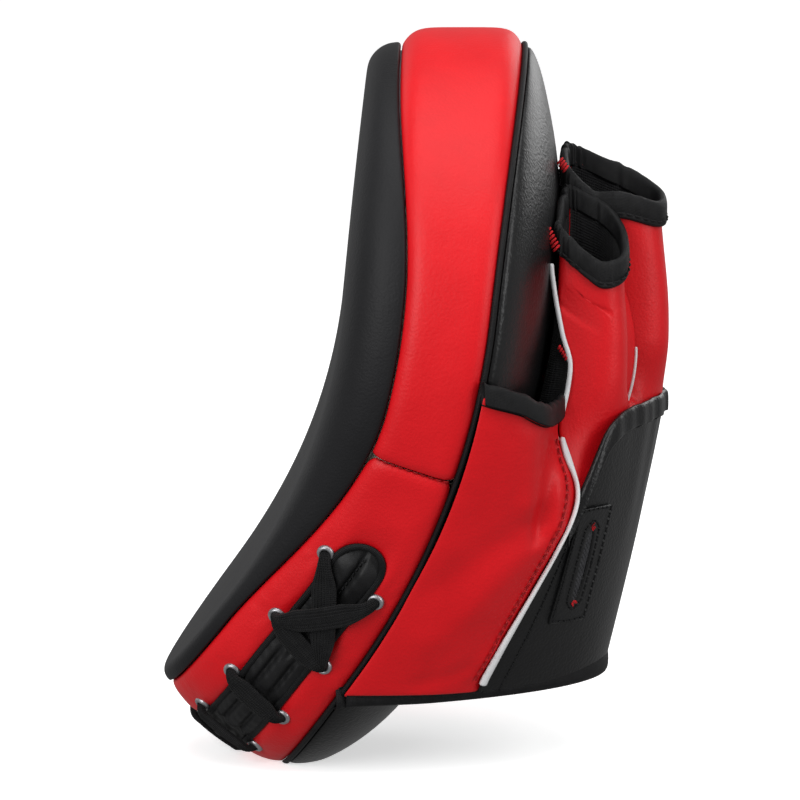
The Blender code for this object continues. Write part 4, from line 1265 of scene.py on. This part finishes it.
def thumb_panel_point(a, z, offset, mirrored=False):
    """The side panel's surface; a is 0 at the pad's seam and 1 at the piping."""
    t = a * panel_edge(z)
    place = arch(t, z, offset)
    shift = piping_point(z) - arch(panel_edge(z), z, 0.0)
    place += shift * a**3
    pressed = 1.0 - smooth((STRAP_PRESS_REACH - abs(z - STRAP_Z)) / STRAP_PRESS_FADE) if mirrored else 1.0
    puff = 0.0030 * math.sin(math.pi * min(a, 1.0)) * (1.0 - 0.4 * rise_share(z))
    place.x += puff * pressed
    for start, end, height, width in THUMB_CREASES:
        bulge = crease(place, start, end, height, width) * pressed
        place.x += bulge * 0.9
        place.y += bulge * 0.45
    pinch = smooth((1.0 - a) / 0.09)
    place.x -= 0.0012 * (1.0 - pinch)
    if mirrored:
        place.x = -place.x
    return place


# The far panel lies flat where the strap presses on it.
STRAP_PRESS_REACH = 0.026
STRAP_PRESS_FADE = 0.012
PANEL_BOTTOM = HEM_BOTTOM_Z + 0.005
FAR_CLOSE_Z = 0.030


def make_thumb_panel():
    rows = []
    for b in spread(0.0, 1.0, 84):
        rows.append([thumb_panel_point(a, mix(PANEL_BOTTOM, thumb_rim(a) + 0.003, b), 0.0) for a in spread(0.0, 1.0, 56)])
    panel = sheet_of("thumb_side_leather", rows, "red", inside=HAND_MIDDLE, inner_look="lining")
    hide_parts("thumb_side_panel")
    path = []
    outs = []
    for z in spread(-0.0330, 0.0500, 60):
        path.append(thumb_panel_point(0.91, z, 0.0008))
        outs.append(arch_out(0.9 * panel_edge(z), z))
    stitches("thumb_side_stitching", path, outs, "dark_red_thread", pitch=0.0031, length=0.0024)


def make_little_panel():
    """The far side's panel, whose upper end closes down on the back cover beside the little finger."""
    rows = []
    for b in spread(0.0, 1.0, 60):
        row = []
        for a in spread(0.0, 1.0, 40):
            top = mix(0.045, 0.078, smooth(a))
            z = mix(PANEL_BOTTOM, top, b)
            place = thumb_panel_point(a, min(z, 0.058), 0.0, mirrored=True)
            place.z = z
            down = smooth((b - 0.55) / 0.45) * (1.0 - 0.55 * smooth((a - 0.75) / 0.25))
            floor = dome_at(place.x, z) + 0.0010
            place.y = mix(place.y, floor, down)
            row.append(place)
        rows.append(row)
    panel = sheet_of("little_finger_side_leather", rows, "red", inside=HAND_MIDDLE, inner_look="lining")
    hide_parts("little_finger_side_panel")
    path = [row[-4] for row in rows[3:-10]]
    outs = [arch_out(math.pi - 0.9 * panel_edge(p.z), p.z) for p in path]
    stitches("little_finger_side_stitching", path, outs, "dark_red_thread", pitch=0.0031, length=0.0024, lift=0.0006)
    top = [p + Vector((0.0, 0.0008, -0.0025)) for p in rows[-1]]
    stitches("little_finger_closing_stitching", top, [Vector((-0.4, 0.9, 0.2))] * len(top), "dark_red_thread",
             lift=0.0004)


def band_rows(edge, out, height, proud, wall, rise=None):
    """Rows of a bound rim: up the outside, over the fold and down the inside.

    edge(j) is a point on the rim's lower outer line and out(j) its outward direction.
    """
    up = Vector((0.0, 0.0, 1.0))
    profile = (
        (-0.0002, 0.0), (proud, 0.0003), (proud, 0.18 * height), (0.62 * proud, 0.24 * height), (proud, 0.32 * height),
        (1.15 * proud, 0.6 * height), (proud, 0.9 * height), (0.2 * proud, 1.02 * height), (-0.4 * wall, 1.05 * height),
        (-0.85 * wall, 0.98 * height), (-wall, 0.8 * height), (-wall, 0.1 * height),
    )
    return [
        [edge[j] + out[j] * d + (rise[j] if rise else up) * h for j in range(len(edge))] for d, h in profile
    ]


def make_thumb_binding():
    """Bound rim of the thumb opening, gathered a little towards the index finger."""
    count = 90
    edge = []
    out = []
    rise = []
    for k in range(count + 1):
        a = k / count * 0.99
        z = thumb_rim(a)
        edge.append(thumb_panel_point(a, z, 0.0004))
        out.append(arch_out(max(a, 0.12) * panel_edge(z), z))
        wave = 0.00045 * math.sin(70.0 * a) * smooth((a - 0.35) / 0.4) + 0.0003 * math.sin(33.0 * a + 1.0)
        rise.append(Vector((0.0, 0.0, 1.0 + 90.0 * wave)) + Vector((0.08 - 0.20 * a, 0.0, 0.0)))
    rows = band_rows(edge, out, 0.0078, 0.0011, 0.0022, rise)
    band = sheet_of("thumb_rim_binding", rows, "binding", wall=0.0004, inside=HAND_MIDDLE)
    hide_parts("thumb_opening_binding")
    path = [e + o * 0.0011 + r * 0.0018 for e, o, r in zip(edge, out, rise)]
    stitches("thumb_rim_stitching", path, out, "black_thread", pitch=0.0030, length=0.0022)


def make_pipings():
    """White piping from the wrist hem up beside the thumb and on along the index finger."""
    path = []
    outs = []
    for z in spread(-0.0350, 0.0500, 70):
        path.append(piping_point(z, 0.0008))
        outs.append(arch_out(panel_edge(z), z))

    def width(share):
        low = 1.0 - smooth(share / 0.55)
        high = bump_at(share, 0.93, 0.07)
        return 0.7 + 1.0 * low + 1.1 * high

    profile = [(0.0009 * math.cos(a), 0.0009 * math.sin(a)) for a in spread(0.0, 2.0 * math.pi, 10)[:-1]]
    near = sweep("thumb_side_white_piping", frames_along(path, outs, width), profile, "white")
    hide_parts("thumb_side_piping")
    mirror = Vector((-1.0, 1.0, 1.0))
    far_path = [p * mirror for p in path]
    far_outs = [o * mirror for o in outs]
    far = sweep("little_finger_side_white_piping", frames_along(far_path, far_outs, width), profile, "white")
    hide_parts("little_finger_side_piping")
    upper = [piping_point(z, 0.0006) for z in spread(0.0560, 0.1075, 50)]
    sides = [Vector((1.0, -0.15, 0.0))] * len(upper)
    sweep("index_finger_white_piping", frames_along(upper, sides), round_profile(0.0009), "white")


# ---------------------------------------------------------------- back of the hand

PANEL_TOP_Y = (0.0100, 0.0138, 0.0190, 0.0247, 0.0325, 0.0424, 0.0465)
PANEL_TOP_Z = (0.0200, 0.0285, 0.0410, 0.0535, 0.0575, 0.0587, 0.0592)


def panel_top(y):
    return ease(y, PANEL_TOP_Y, PANEL_TOP_Z)


BACK_WRINKLES = (
    (0.34, 0.95, 0.0007, 5.0), (0.42, 0.9, -0.0006, 3.0), (0.27, 0.8, 0.0005, 4.0), (0.62, 0.92, 0.0006, 4.0),
    (0.72, 0.75, -0.0004, 3.0),
)


def back_column(c, b, offset):
    """A point of the back-of-hand panel: c across it from the thumb side, b from the hem up."""
    z = 0.0
    place = None
    for _ in range(14):
        t = mix(panel_edge(z), math.pi - panel_edge(z), c)
        place = arch(t, z, offset)
        z = mix(z, mix(PANEL_BOTTOM, panel_top(place.y), b), 0.7)
    for middle, height, size, sharp in BACK_WRINKLES:
        lean = middle + 0.10 * (height - b)
        place.y += size * bump_at(c, lean, 0.05 / sharp * 3.0) * smooth((b - height + 0.45) / 0.4)
    ends = 1.0 - smooth(min(c, 1.0 - c) / 0.04)
    edge = piping_point(min(z, 0.030))
    edge.x = math.copysign(edge.x, place.x)
    place.x = mix(place.x, edge.x - math.copysign(0.0004, place.x), ends)
    place.y = mix(place.y, edge.y + 0.0006, ends)
    return place


def make_back_panel():
    rows = [[back_column(c, b, 0.0) for c in spread(0.0, 1.0, 130)] for b in spread(0.0, 1.0, 70)]
    panel = sheet_of("back_of_hand_leather", rows, "black", inside=HAND_MIDDLE, inner_look="lining")
    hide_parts("back_of_hand_panel")
    top = rows[-1]
    edge = []
    out = []
    for k, place in enumerate(top):
        away = arch_out(mix(panel_edge(place.z), math.pi - panel_edge(place.z), k / 130.0), place.z)
        ripple = 0.0002 * math.sin(0.9 * k) + 0.00025 * math.sin(0.37 * k + 1.0)
        edge.append(place + away * (0.0006 + ripple) - Vector((0.0, 0.0, 0.0074)))
        out.append(away)
    rows = band_rows(edge, out, 0.0080, 0.0007, 0.0016)
    hem = sheet_of("knuckle_hem", rows, "black", wall=0.0004, inside=HAND_MIDDLE)
    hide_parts("back_of_hand_hem")
    path = [e + o * 0.0008 + Vector((0.0, 0.0, 0.0012)) for e, o in zip(edge, out)]
    stitches("knuckle_hem_stitching", path, out, "black_thread")
    seam = [back_column(0.055, b, 0.0002) for b in spread(0.0, 0.9, 40)]
    stitches("back_panel_stitching", seam, [arch_out(0.6, p.z) for p in seam], "black_thread", pitch=0.003)


HEM_RISE = 0.0042


def make_wrist_hem():
    """Doubled binding round the wrist opening, from one side of the pad to the other."""
    count = 150
    path = []
    outs = []
    for k in range(count + 1):
        t = math.pi * k / count
        path.append(arch(t, HEM_BOTTOM_Z, 0.0004) + Vector((0.0, 0.0, HEM_RISE * math.sin(t) ** 0.7)))
        outs.append(arch_out(t, HEM_BOTTOM_Z + 0.004) if 3 < k < count - 3 else Vector((math.cos(t), 0.3, 0.0)))
    up = HEM_HEIGHT
    profile = (
        (-0.0012, 0.55 * up), (0.0002, 1.14 * up), (0.0010, 1.10 * up), (0.0013, 0.95 * up), (0.0008, 0.86 * up),
        (0.0016, 0.76 * up), (0.0022, 0.5 * up), (0.0020, 0.2 * up), (0.0012, 0.02 * up), (0.0, -0.04 * up),
        (-0.0012, 0.0), (-0.0024, 0.12 * up), (-0.0026, 0.5 * up), (-0.0024, 0.9 * up),
    )
    rows = []
    for d, h in profile:
        row = []
        for k in range(count + 1):
            out = outs[k].copy()
            out.z = 0.0
            row.append(path[k] + out.normalized() * d + Vector((0.0, 0.0, h)))
        rows.append(row)
    hem = sheet_of("wrist_hem", rows, "binding", wall=0.0004, inside=Vector((0.0, 0.0, HEM_BOTTOM_Z + 0.004)))
    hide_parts("wrist_hem_binding")
    line = [p + o * 0.0013 + Vector((0.0, 0.0, 0.90 * up)) for p, o in zip(path, outs)]
    stitches("wrist_hem_stitching", line, outs, "black_thread")


# ---------------------------------------------------------------- finger sleeves

SLEEVES = {
    "index": {"side": 1.0, "inner": 1.0, "outer": 0.0290, "swell": 0.0020, "rim": 0.1330, "fall": (0.60, 0.50)},
    "middle": {"side": 1.0, "inner": 0.0, "outer": 0.0415, "swell": 0.0055, "rim": 0.1460, "fall": (0.30, 0.42)},
    "ring": {"side": -1.0, "inner": 0.0, "outer": 0.0395, "swell": 0.0055, "rim": 0.1390, "fall": (0.30, 0.42)},
    "little": {"side": -1.0, "inner": 1.0, "outer": 0.0270, "swell": 0.0020, "rim": 0.1230, "fall": (0.60, 0.50)},
}
SLEEVE_LOW = KNUCKLE_Z
BAND_HEIGHT = 0.0088
PAD_CLEARANCE = 0.0012
SLEEVE_INNER_POWER = 6.0


def sleeve_place(finger, angle, z, offset=0.0):
    """A point on a finger sleeve's section; angle 0 is away from the hand's middle and 90 degrees outwards."""
    shape = SLEEVES[finger]
    middle_x = (shape["inner"] + 0.5) * FINGER_PITCH
    half_x = FINGER_PITCH / 2.0 - 0.0003 + offset
    c = math.cos(angle)
    n = math.sin(angle)
    power = SLEEVE_POWER if n > 0.0 else SLEEVE_INNER_POWER
    x = middle_x + half_x * math.copysign(abs(c) ** (2.0 / power), c)
    height = min(max((z - SLEEVE_LOW) / (shape["rim"] - SLEEVE_LOW), 0.0), 1.0)
    outer = shape["outer"] + shape["swell"] * (1.0 - height * height)
    high = dome_at(shape["inner"] * FINGER_PITCH, z) + PAD_CLEARANCE
    middle_y = (high + outer) / 2.0
    reach = outer - middle_y if n > 0.0 else middle_y - dome_at(x, z) - PAD_CLEARANCE
    y = middle_y + (reach + offset) * math.copysign(abs(n) ** (2.0 / power), n)
    return Vector((x * shape["side"], y, z))


def sleeve_out(finger, angle, z):
    middle_x = (SLEEVES[finger]["inner"] + 0.5) * FINGER_PITCH * SLEEVES[finger]["side"]
    centre_y = sleeve_place(finger, math.pi / 2.0, z).y / 2.0 + sleeve_place(finger, -math.pi / 2.0, z).y / 2.0
    out = sleeve_place(finger, angle, z) - Vector((middle_x, centre_y, z))
    return out.normalized()


def rim_height(finger, place):
    """Height of a sleeve's rim over a place on its section."""
    shape = SLEEVES[finger]
    away = abs(place.x) - shape["inner"] * FINGER_PITCH
    proud = place.y - dome_at(shape["inner"] * FINGER_PITCH, shape["rim"]) - PAD_CLEARANCE
    fall_x, fall_y = shape["fall"]
    sag = 0.0042 * bump_at(proud, 0.010, 0.0075) * smooth(away / FINGER_PITCH)
    return shape["rim"] - fall_x * away - fall_y * max(proud, -0.002) - sag


def at_rim(finger, angle, below, offset=0.0):
    z = SLEEVES[finger]["rim"]
    place = None
    for _ in range(8):
        place = sleeve_place(finger, angle, z, offset)
        z = rim_height(finger, place) - below
    place.z = z
    return place


def near_angle(finger, z):
    """Angle where the leather starts beside the pad, on the side away from the hand's middle."""
    if finger not in ("index", "little"):
        return math.radians(-62.0)
    line = ease(z, PIPING_Z, PIPING_Y)
    low = math.radians(-80.0)
    high = math.radians(30.0)
    for _ in range(18):
        middle = (low + high) / 2.0
        if sleeve_place(finger, middle, z).y < line:
            low = middle
        else:
            high = middle
    return low


def root_place(finger, q, z):
    """The sleeve's lower end, where it lies on the glove between the piping and the back panel."""
    shape = SLEEVES[finger]
    if finger in ("index", "little"):
        first = panel_edge(z)
        start = piping_point(z)
    else:
        first = math.radians(58.0)
        start = None
    last = math.radians(92.0) if shape["inner"] == 0.0 else math.radians(72.0)
    place = arch(mix(first, last, min(q / 0.7, 1.0)), z, -0.0010)
    if start is not None:
        place += (start - arch(first, z, 0.0)) * (1.0 - min(q / 0.5, 1.0)) ** 2
    place.x *= shape["side"]
    if q > 0.7:
        place.y -= 0.010 * (q - 0.7)
    return place


def sleeve_sheet_point(finger, q, b):
    """The leather of a sleeve: q goes round it from the pad's near side and b from its root to its rim."""
    shape = SLEEVES[finger]
    bottom = 0.0255 if shape["inner"] else 0.0470
    z = SLEEVE_LOW
    place = None
    for _ in range(7):
        first = near_angle(finger, z)
        angle = mix(first, math.radians(228.0), q)
        place = sleeve_place(finger, angle, z)
        top = rim_height(finger, place) - 0.6 * BAND_HEIGHT
        z = mix(bottom, top, b)
    low = 0.040 if shape["inner"] else 0.050
    share = smooth((z - low) / 0.030)
    place = sleeve_place(finger, mix(near_angle(finger, z), math.radians(228.0), q), max(z, 0.050))
    place.z = z
    root = root_place(finger, q, min(z, 0.062))
    root.z = z
    place = root.lerp(place, share)
    wave = 0.00035 * math.sin(9.0 * b + 5.0 * q)
    out = sleeve_out(finger, math.pi / 2.0, max(z, 0.06))
    return place + out * wave


def make_sleeves():
    for finger, shape in SLEEVES.items():
        middle = Vector(((shape["inner"] + 0.5) * FINGER_PITCH * shape["side"], 0.018, 0.09))
        inside = Vector((middle.x, 0.012 if shape["inner"] else 0.02, 0.08))
        rows = [[sleeve_sheet_point(finger, q, b) for q in spread(0.0, 1.0, 56)] for b in spread(0.0, 1.0, 60)]
        sleeve = sheet_of(f"{finger}_sleeve_leather", rows, "red", wall=0.0011, inside=inside, inner_look="lining")
        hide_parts(f"{finger}_finger_sleeve")
        rows = []
        for b in spread(0.0, 1.0, 30):
            row = []
            for q in spread(0.0, 1.0, 24):
                z = 0.060
                for _ in range(5):
                    first = near_angle(finger, z) + 2.0 * math.pi
                    angle = mix(math.radians(222.0), first, q)
                    place = sleeve_place(finger, angle, z)
                    z = mix(0.052, rim_height(finger, place) - 0.6 * BAND_HEIGHT, b)
                place.z = z
                row.append(place)
            rows.append(row)
        sheet_of(f"{finger}_sleeve_lining", rows, "lining", wall=0.0008, inside=inside)
        make_sleeve_binding(finger, inside)


def make_sleeve_binding(finger, inside):
    """Bound rim of a sleeve, gathered where it is tacked to the pad."""
    count = 120
    edge = []
    out = []
    rise = []
    for k in range(count):
        angle = 2.0 * math.pi * k / count
        edge.append(at_rim(finger, angle, BAND_HEIGHT, 0.0004))
        out.append(sleeve_out(finger, angle, edge[-1].z))
        near_pad = smooth((-math.sin(angle) + 0.75) / 1.1)
        fold = math.sin(19.0 * angle) * 0.5 + 0.5 * math.sin(31.0 * angle + 1.3)
        edge[-1] += out[-1] * 0.0007 * fold * near_pad
        rise.append(Vector((0.0, 0.0, 1.0 + 0.07 * near_pad * fold + 0.02 * math.sin(5.0 * angle))))
    rows = band_rows(edge, out, BAND_HEIGHT, 0.0010, 0.0020, rise)
    band = sheet_of(f"{finger}_rim_binding", rows, "binding", wall=0.0004, loop=True, inside=inside)
    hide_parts(f"{finger}_finger_binding")
    path = [e + o * 0.0010 + r * 0.0019 for e, o, r in zip(edge, out, rise)]
    stitches(f"{finger}_rim_stitching", path, out, "black_thread", pitch=0.0030, length=0.0022)


def make_gores():
    """Narrow gores between the inner and outer fingers, with their pipings."""
    for name, side in (("index_middle", 1.0), ("ring_little", -1.0)):
        rows = []
        right = []
        for z in spread(0.0540, 0.1030, 40):
            share = (z - 0.0540) / 0.0490
            left = Vector((0.0315 * side, 0.0265, z))
            reach = 0.0300 + 0.0048 * math.sin(math.pi * min(share * 1.1, 1.0)) ** 0.8
            end = Vector((0.0262 * side, reach, z))
            row = []
            for q in spread(0.0, 1.0, 12):
                place = left.lerp(end, q)
                place.x += side * 0.0022 * math.sin(math.pi * q) * math.sin(math.pi * min(share * 1.05, 1.0))
                row.append(place)
            rows.append(row)
            right.append(end + Vector((side * 0.0004, 0.0, 0.0)))
        sheet_of(f"{name}_gore", rows, "red", wall=0.0010, inside=Vector((0.02 * side, 0.02, 0.08)))
        path = right[3:20]
        sweep(f"{name}_gore_piping", frames_along(path, [Vector((side, 0.2, 0.0))] * len(path)), round_profile(0.0006),
              "white")


def make_tacks():
    """Red thread tacks where the sleeve rims, the middle sleeve's side and the thumb's corner are fixed."""
    bar_tack("middle_rim_tack", Vector((0.0262, 0.0085, 0.1405)), Vector((0.0262, 0.0110, 0.1370)),
             Vector((1.0, 0.0, 0.2)), 0.0030, turns=4)
    bar_tack("middle_side_tack", Vector((0.0262, 0.0095, 0.1265)), Vector((0.0262, 0.0120, 0.1245)),
             Vector((1.0, 0.0, 0.2)), 0.0028, turns=3)
    bar_tack("index_rim_tack", Vector((0.0518, 0.0035, 0.1190)), Vector((0.0518, 0.0070, 0.1120)),
             Vector((1.0, 0.0, 0.2)), 0.0030, turns=6)
    bar_tack("thumb_corner_tack", Vector((0.0520, 0.0075, 0.0800)), Vector((0.0520, 0.0105, 0.0755)),
             Vector((1.0, 0.1, 0.1)), 0.0016, turns=5)


# ---------------------------------------------------------------- wrist strap


def make_slot_patches():
    """Stitched patch round each strap slot, with the strap showing in the slit."""
    half_slit = 0.0012
    for side, mirror in (("thumb", False), ("far", True)):
        def on_panel(a, h, offset, mirror=mirror):
            t = STRAP_ANGLE + a / 0.049
            t = math.pi - t if mirror else t
            return arch(t, STRAP_Z + h, offset)

        count = 72
        rows = []
        for step, lift in ((0.0, 0.0002), (0.0, 0.0012), (0.08, 0.0015), (0.3, 0.0013), (0.7, 0.0013), (0.93, 0.0014), (1.0, 0.0010), (1.0, 0.0)):
            row = []
            for k in range(count):
                turn = 2.0 * math.pi * k / count
                c = math.cos(turn)
                n = math.sin(turn)
                inner = (half_slit * c, 0.0132 * n)
                big = max(abs(c), abs(n))
                outer = (0.0058 * max(min(c / big, 0.97), -0.97), 0.0205 * max(min(n / big, 0.985), -0.985))
                row.append(on_panel(mix(inner[0], outer[0], step), mix(inner[1], outer[1], step), lift))
            rows.append(row)
        patch = sheet_of(f"{side}_slot_leather", rows, "black", wall=0.0, loop=True, inside=HAND_MIDDLE)
        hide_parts(f"{side}_side_slot_patch")
        for line, share in (("inner", 0.30), ("outer", 0.88)):
            path = []
            outs = []
            for k in range(count + 1):
                turn = 2.0 * math.pi * k / count
                c = math.cos(turn)
                n = math.sin(turn)
                big = max(abs(c), abs(n))
                spot = (mix(half_slit * c, 0.0058 * c / big, share), mix(0.0132 * n, 0.0205 * n / big, share))
                path.append(on_panel(*spot, 0.0015))
                t = STRAP_ANGLE if not mirror else math.pi - STRAP_ANGLE
                outs.append(arch_out(t, STRAP_Z))
            stitches(f"{side}_slot_stitching_{line}", path, outs, "black_thread", pitch=0.0026, length=0.0019)
        out = arch_out(math.pi - STRAP_ANGLE if mirror else STRAP_ANGLE, STRAP_Z)
        for end, sign in (("upper", 1.0), ("lower", -1.0)):
            low = on_panel(-0.0004, sign * 0.0128, 0.0016)
            high = on_panel(0.0004, sign * 0.0140, 0.0016)
            bar_tack(f"{side}_slot_{end}_tack", low, high, out, 0.0022, turns=3, radius=0.0003)
        rows = []
        for h in spread(-0.0126, 0.0126, 16):
            rows.append([on_panel(a, h, 0.0003 + (0.0005 if abs(a) < 0.001 else 0.0)) for a in spread(-0.0035, 0.0035, 8)])
        sheet_of(f"{side}_slot_webbing", rows, "webbing", wall=0.0, inside=HAND_MIDDLE)


TAIL_OFFSET = 0.0060
TAIL_END_ANGLE = math.radians(12.0)


def make_strap_tail():
    """The webbing that comes out of the far slot and folds back over the hook tape."""
    first = math.pi - STRAP_ANGLE
    path = []
    for k, lift in enumerate((0.0008, 0.0030, 0.0048, 0.0058)):
        path.append((first + 0.004 * k * k, lift))
    path += [(t, TAIL_OFFSET) for t in spread(first + 0.06, math.pi - TAIL_END_ANGLE, 40)]
    rows = []
    for h in spread(-STRAP_WIDTH / 2.0, STRAP_WIDTH / 2.0, 16):
        rows.append([arch(t, STRAP_Z + h * (1.0 if k < 40 else 0.97), lift) for k, (t, lift) in enumerate(path)])
    tail = sheet_of("strap_tail_webbing", rows, "webbing", wall=0.0013, inside=HAND_MIDDLE, body=None)
    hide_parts("strap_tail")
    hinge = Vector(frame["joints"][0]["pos_m"])
    start = arch(first - 0.02, STRAP_Z, 0.0030)
    end = arch(first + 0.05, STRAP_Z, TAIL_OFFSET)
    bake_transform(tail)
    for edge, h in (("lower", -0.0105), ("upper", 0.0105)):
        line = [arch(t, STRAP_Z + h, TAIL_OFFSET + 0.0002) for t in spread(math.radians(180.0 - 30.0), math.pi - TAIL_END_ANGLE - 0.02, 30)]
        outs = [arch_out(math.pi - 0.35, STRAP_Z)] * len(line)
        stitches(f"strap_tail_stitching_{edge}", line, outs, "black_thread", body="strap_end")
    return hinge


FASTENER_START_ANGLE = math.radians(30.0)
LOOP_OFFSET = 0.0028
HOOK_OFFSET = 0.0043
FASTENER_THICKNESS = 0.0012


def make_fasteners():
    """Loop tape sewn to the far panel, and hook tape under the strap's tail."""
    tapes = (
        ("loop_tape", "loops", "strap_loop_patch", "mitt", LOOP_OFFSET),
        ("hook_tape", "hooks", "strap_hook_patch", "strap_end", HOOK_OFFSET),
    )
    for name, look, node_name, body, offset in tapes:
        rows = []
        for h in spread(-0.0110, 0.0110, 18):
            angles = spread(math.pi - FASTENER_START_ANGLE, math.pi - TAIL_END_ANGLE - 0.02, 30)
            rows.append([arch(t, STRAP_Z + h, offset) for t in angles])
        tape = sheet_of(name, rows, look, wall=FASTENER_THICKNESS, inside=HAND_MIDDLE, body=body)
        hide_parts(node_name)
    for h in (-0.0100, 0.0100):
        line = [arch(t, STRAP_Z + h, LOOP_OFFSET + 0.0002) for t in angles]
        outs = [arch_out(t, STRAP_Z + h) for t in angles]
        stitches(f"loop_tape_stitching_{'lower' if h < 0.0 else 'upper'}", line, outs, "black_thread")


# ---------------------------------------------------------------- camera, light and floor

CAMERA_DISTANCE = 1.4
CAMERA_ELEVATION = math.radians(6.5)
CAMERA_TARGET = Vector((0.0, -0.04518, 0.05597))
CAMERA_LENS = 182.07


def aim(obj, target):
    obj.rotation_mode = "QUATERNION"
    obj.rotation_quaternion = (target - obj.location).to_track_quat("-Z", "Y")


def make_camera():
    data = bpy.data.cameras.new("camera")
    data.lens = CAMERA_LENS
    data.sensor_width = 36.0
    data.clip_start = 0.05
    data.clip_end = 20.0
    camera = bpy.data.objects.new("camera", data)
    bpy.context.scene.collection.objects.link(camera)
    back = Vector((math.cos(CAMERA_ELEVATION), 0.0, math.sin(CAMERA_ELEVATION)))
    camera.location = CAMERA_TARGET + back * CAMERA_DISTANCE
    aim(camera, CAMERA_TARGET)
    bpy.context.scene.camera = camera


def area_light(name, place, size, watts, target=(0.0, -0.03, 0.06)):
    data = bpy.data.lights.new(name, "AREA")
    data.shape = "RECTANGLE"
    data.size = size[0]
    data.size_y = size[1]
    data.energy = watts
    light = bpy.data.objects.new(name, data)
    light.location = place
    bpy.context.scene.collection.objects.link(light)
    aim(light, Vector(target))


def make_studio():
    world = bpy.data.worlds.new("studio")
    bpy.context.scene.world = world
    world.use_nodes = True
    background = world.node_tree.nodes["Background"]
    background.inputs["Color"].default_value = (1.0, 1.0, 1.0, 1.0)
    background.inputs["Strength"].default_value = 0.30
    area_light("overhead", (0.35, 0.0, 1.15), (1.1, 1.1), 10.0)
    area_light("camera_side", (1.3, -0.9, 0.55), (0.9, 1.2), 18.5)
    area_light("hand_side", (0.7, 1.15, 0.45), (0.5, 1.3), 9.0)
    area_light("front", (-0.8, -1.3, 0.6), (1.0, 1.2), 3.6)
    area_light("back", (-1.2, 0.8, 0.7), (1.0, 1.0), 6.0)
    reach = 6.0
    rows = []
    for x, z in ((3.0, 0.0), (-1.2, 0.0), (-1.9, 0.1), (-2.35, 0.45), (-2.5, 1.0), (-2.5, 4.0)):
        rows.append([Vector((x, y, cad_low.z - 0.001 + z)) for y in spread(-reach, reach, 8)])
    floor = sheet_of("studio_floor", rows, "floor", wall=0.0, levels=2, body=None, inside=Vector((0.0, 0.0, -9.0)))
    floor.visible_glossy = False
    floor.visible_diffuse = False
    view = bpy.context.scene.view_settings
    view.view_transform = "Standard"
    view.look = "None"


def finish_cad_nodes():
    """Materials for the frame's own nodes that show or lie inside."""
    looks = {
        "impact_foam": "impact",
        "core_foam": "soft",
        "palm_foam": "soft",
        "stiffener_board": "board",
        "palm_lining": "lining",
        "wrist_strap": "webbing",
        "strap_hook_patch": "hooks",
        "strap_loop_patch": "loops",
    }
    for name, obj in frame["nodes"].items():
        if name in looks:
            look = looks[name]
        elif "sleeve" in name or "side_panel" in name:
            look = "red"
        elif "piping" in name:
            look = "white"
        elif "binding" in name:
            look = "binding"
        elif "patch" in name or "hand" in name:
            look = "black"
        else:
            look = "webbing"
        obj.data.materials.clear()
        obj.data.materials.append(LOOKS[look])


make_camera()
make_studio()
finish_cad_nodes()
make_strike_cover()
make_pad_layers()
make_upper_gusset()
make_lower_gusset()
make_slot_binding()
make_tongue()
make_eyelets()
make_laces()
make_cross_seams()
make_back_cover()
make_seam_roll()
make_thumb_panel()
make_little_panel()
make_thumb_binding()
make_pipings()
make_back_panel()
make_wrist_hem()
make_sleeves()
make_gores()
make_tacks()
make_slot_patches()
make_strap_tail()
make_fasteners()
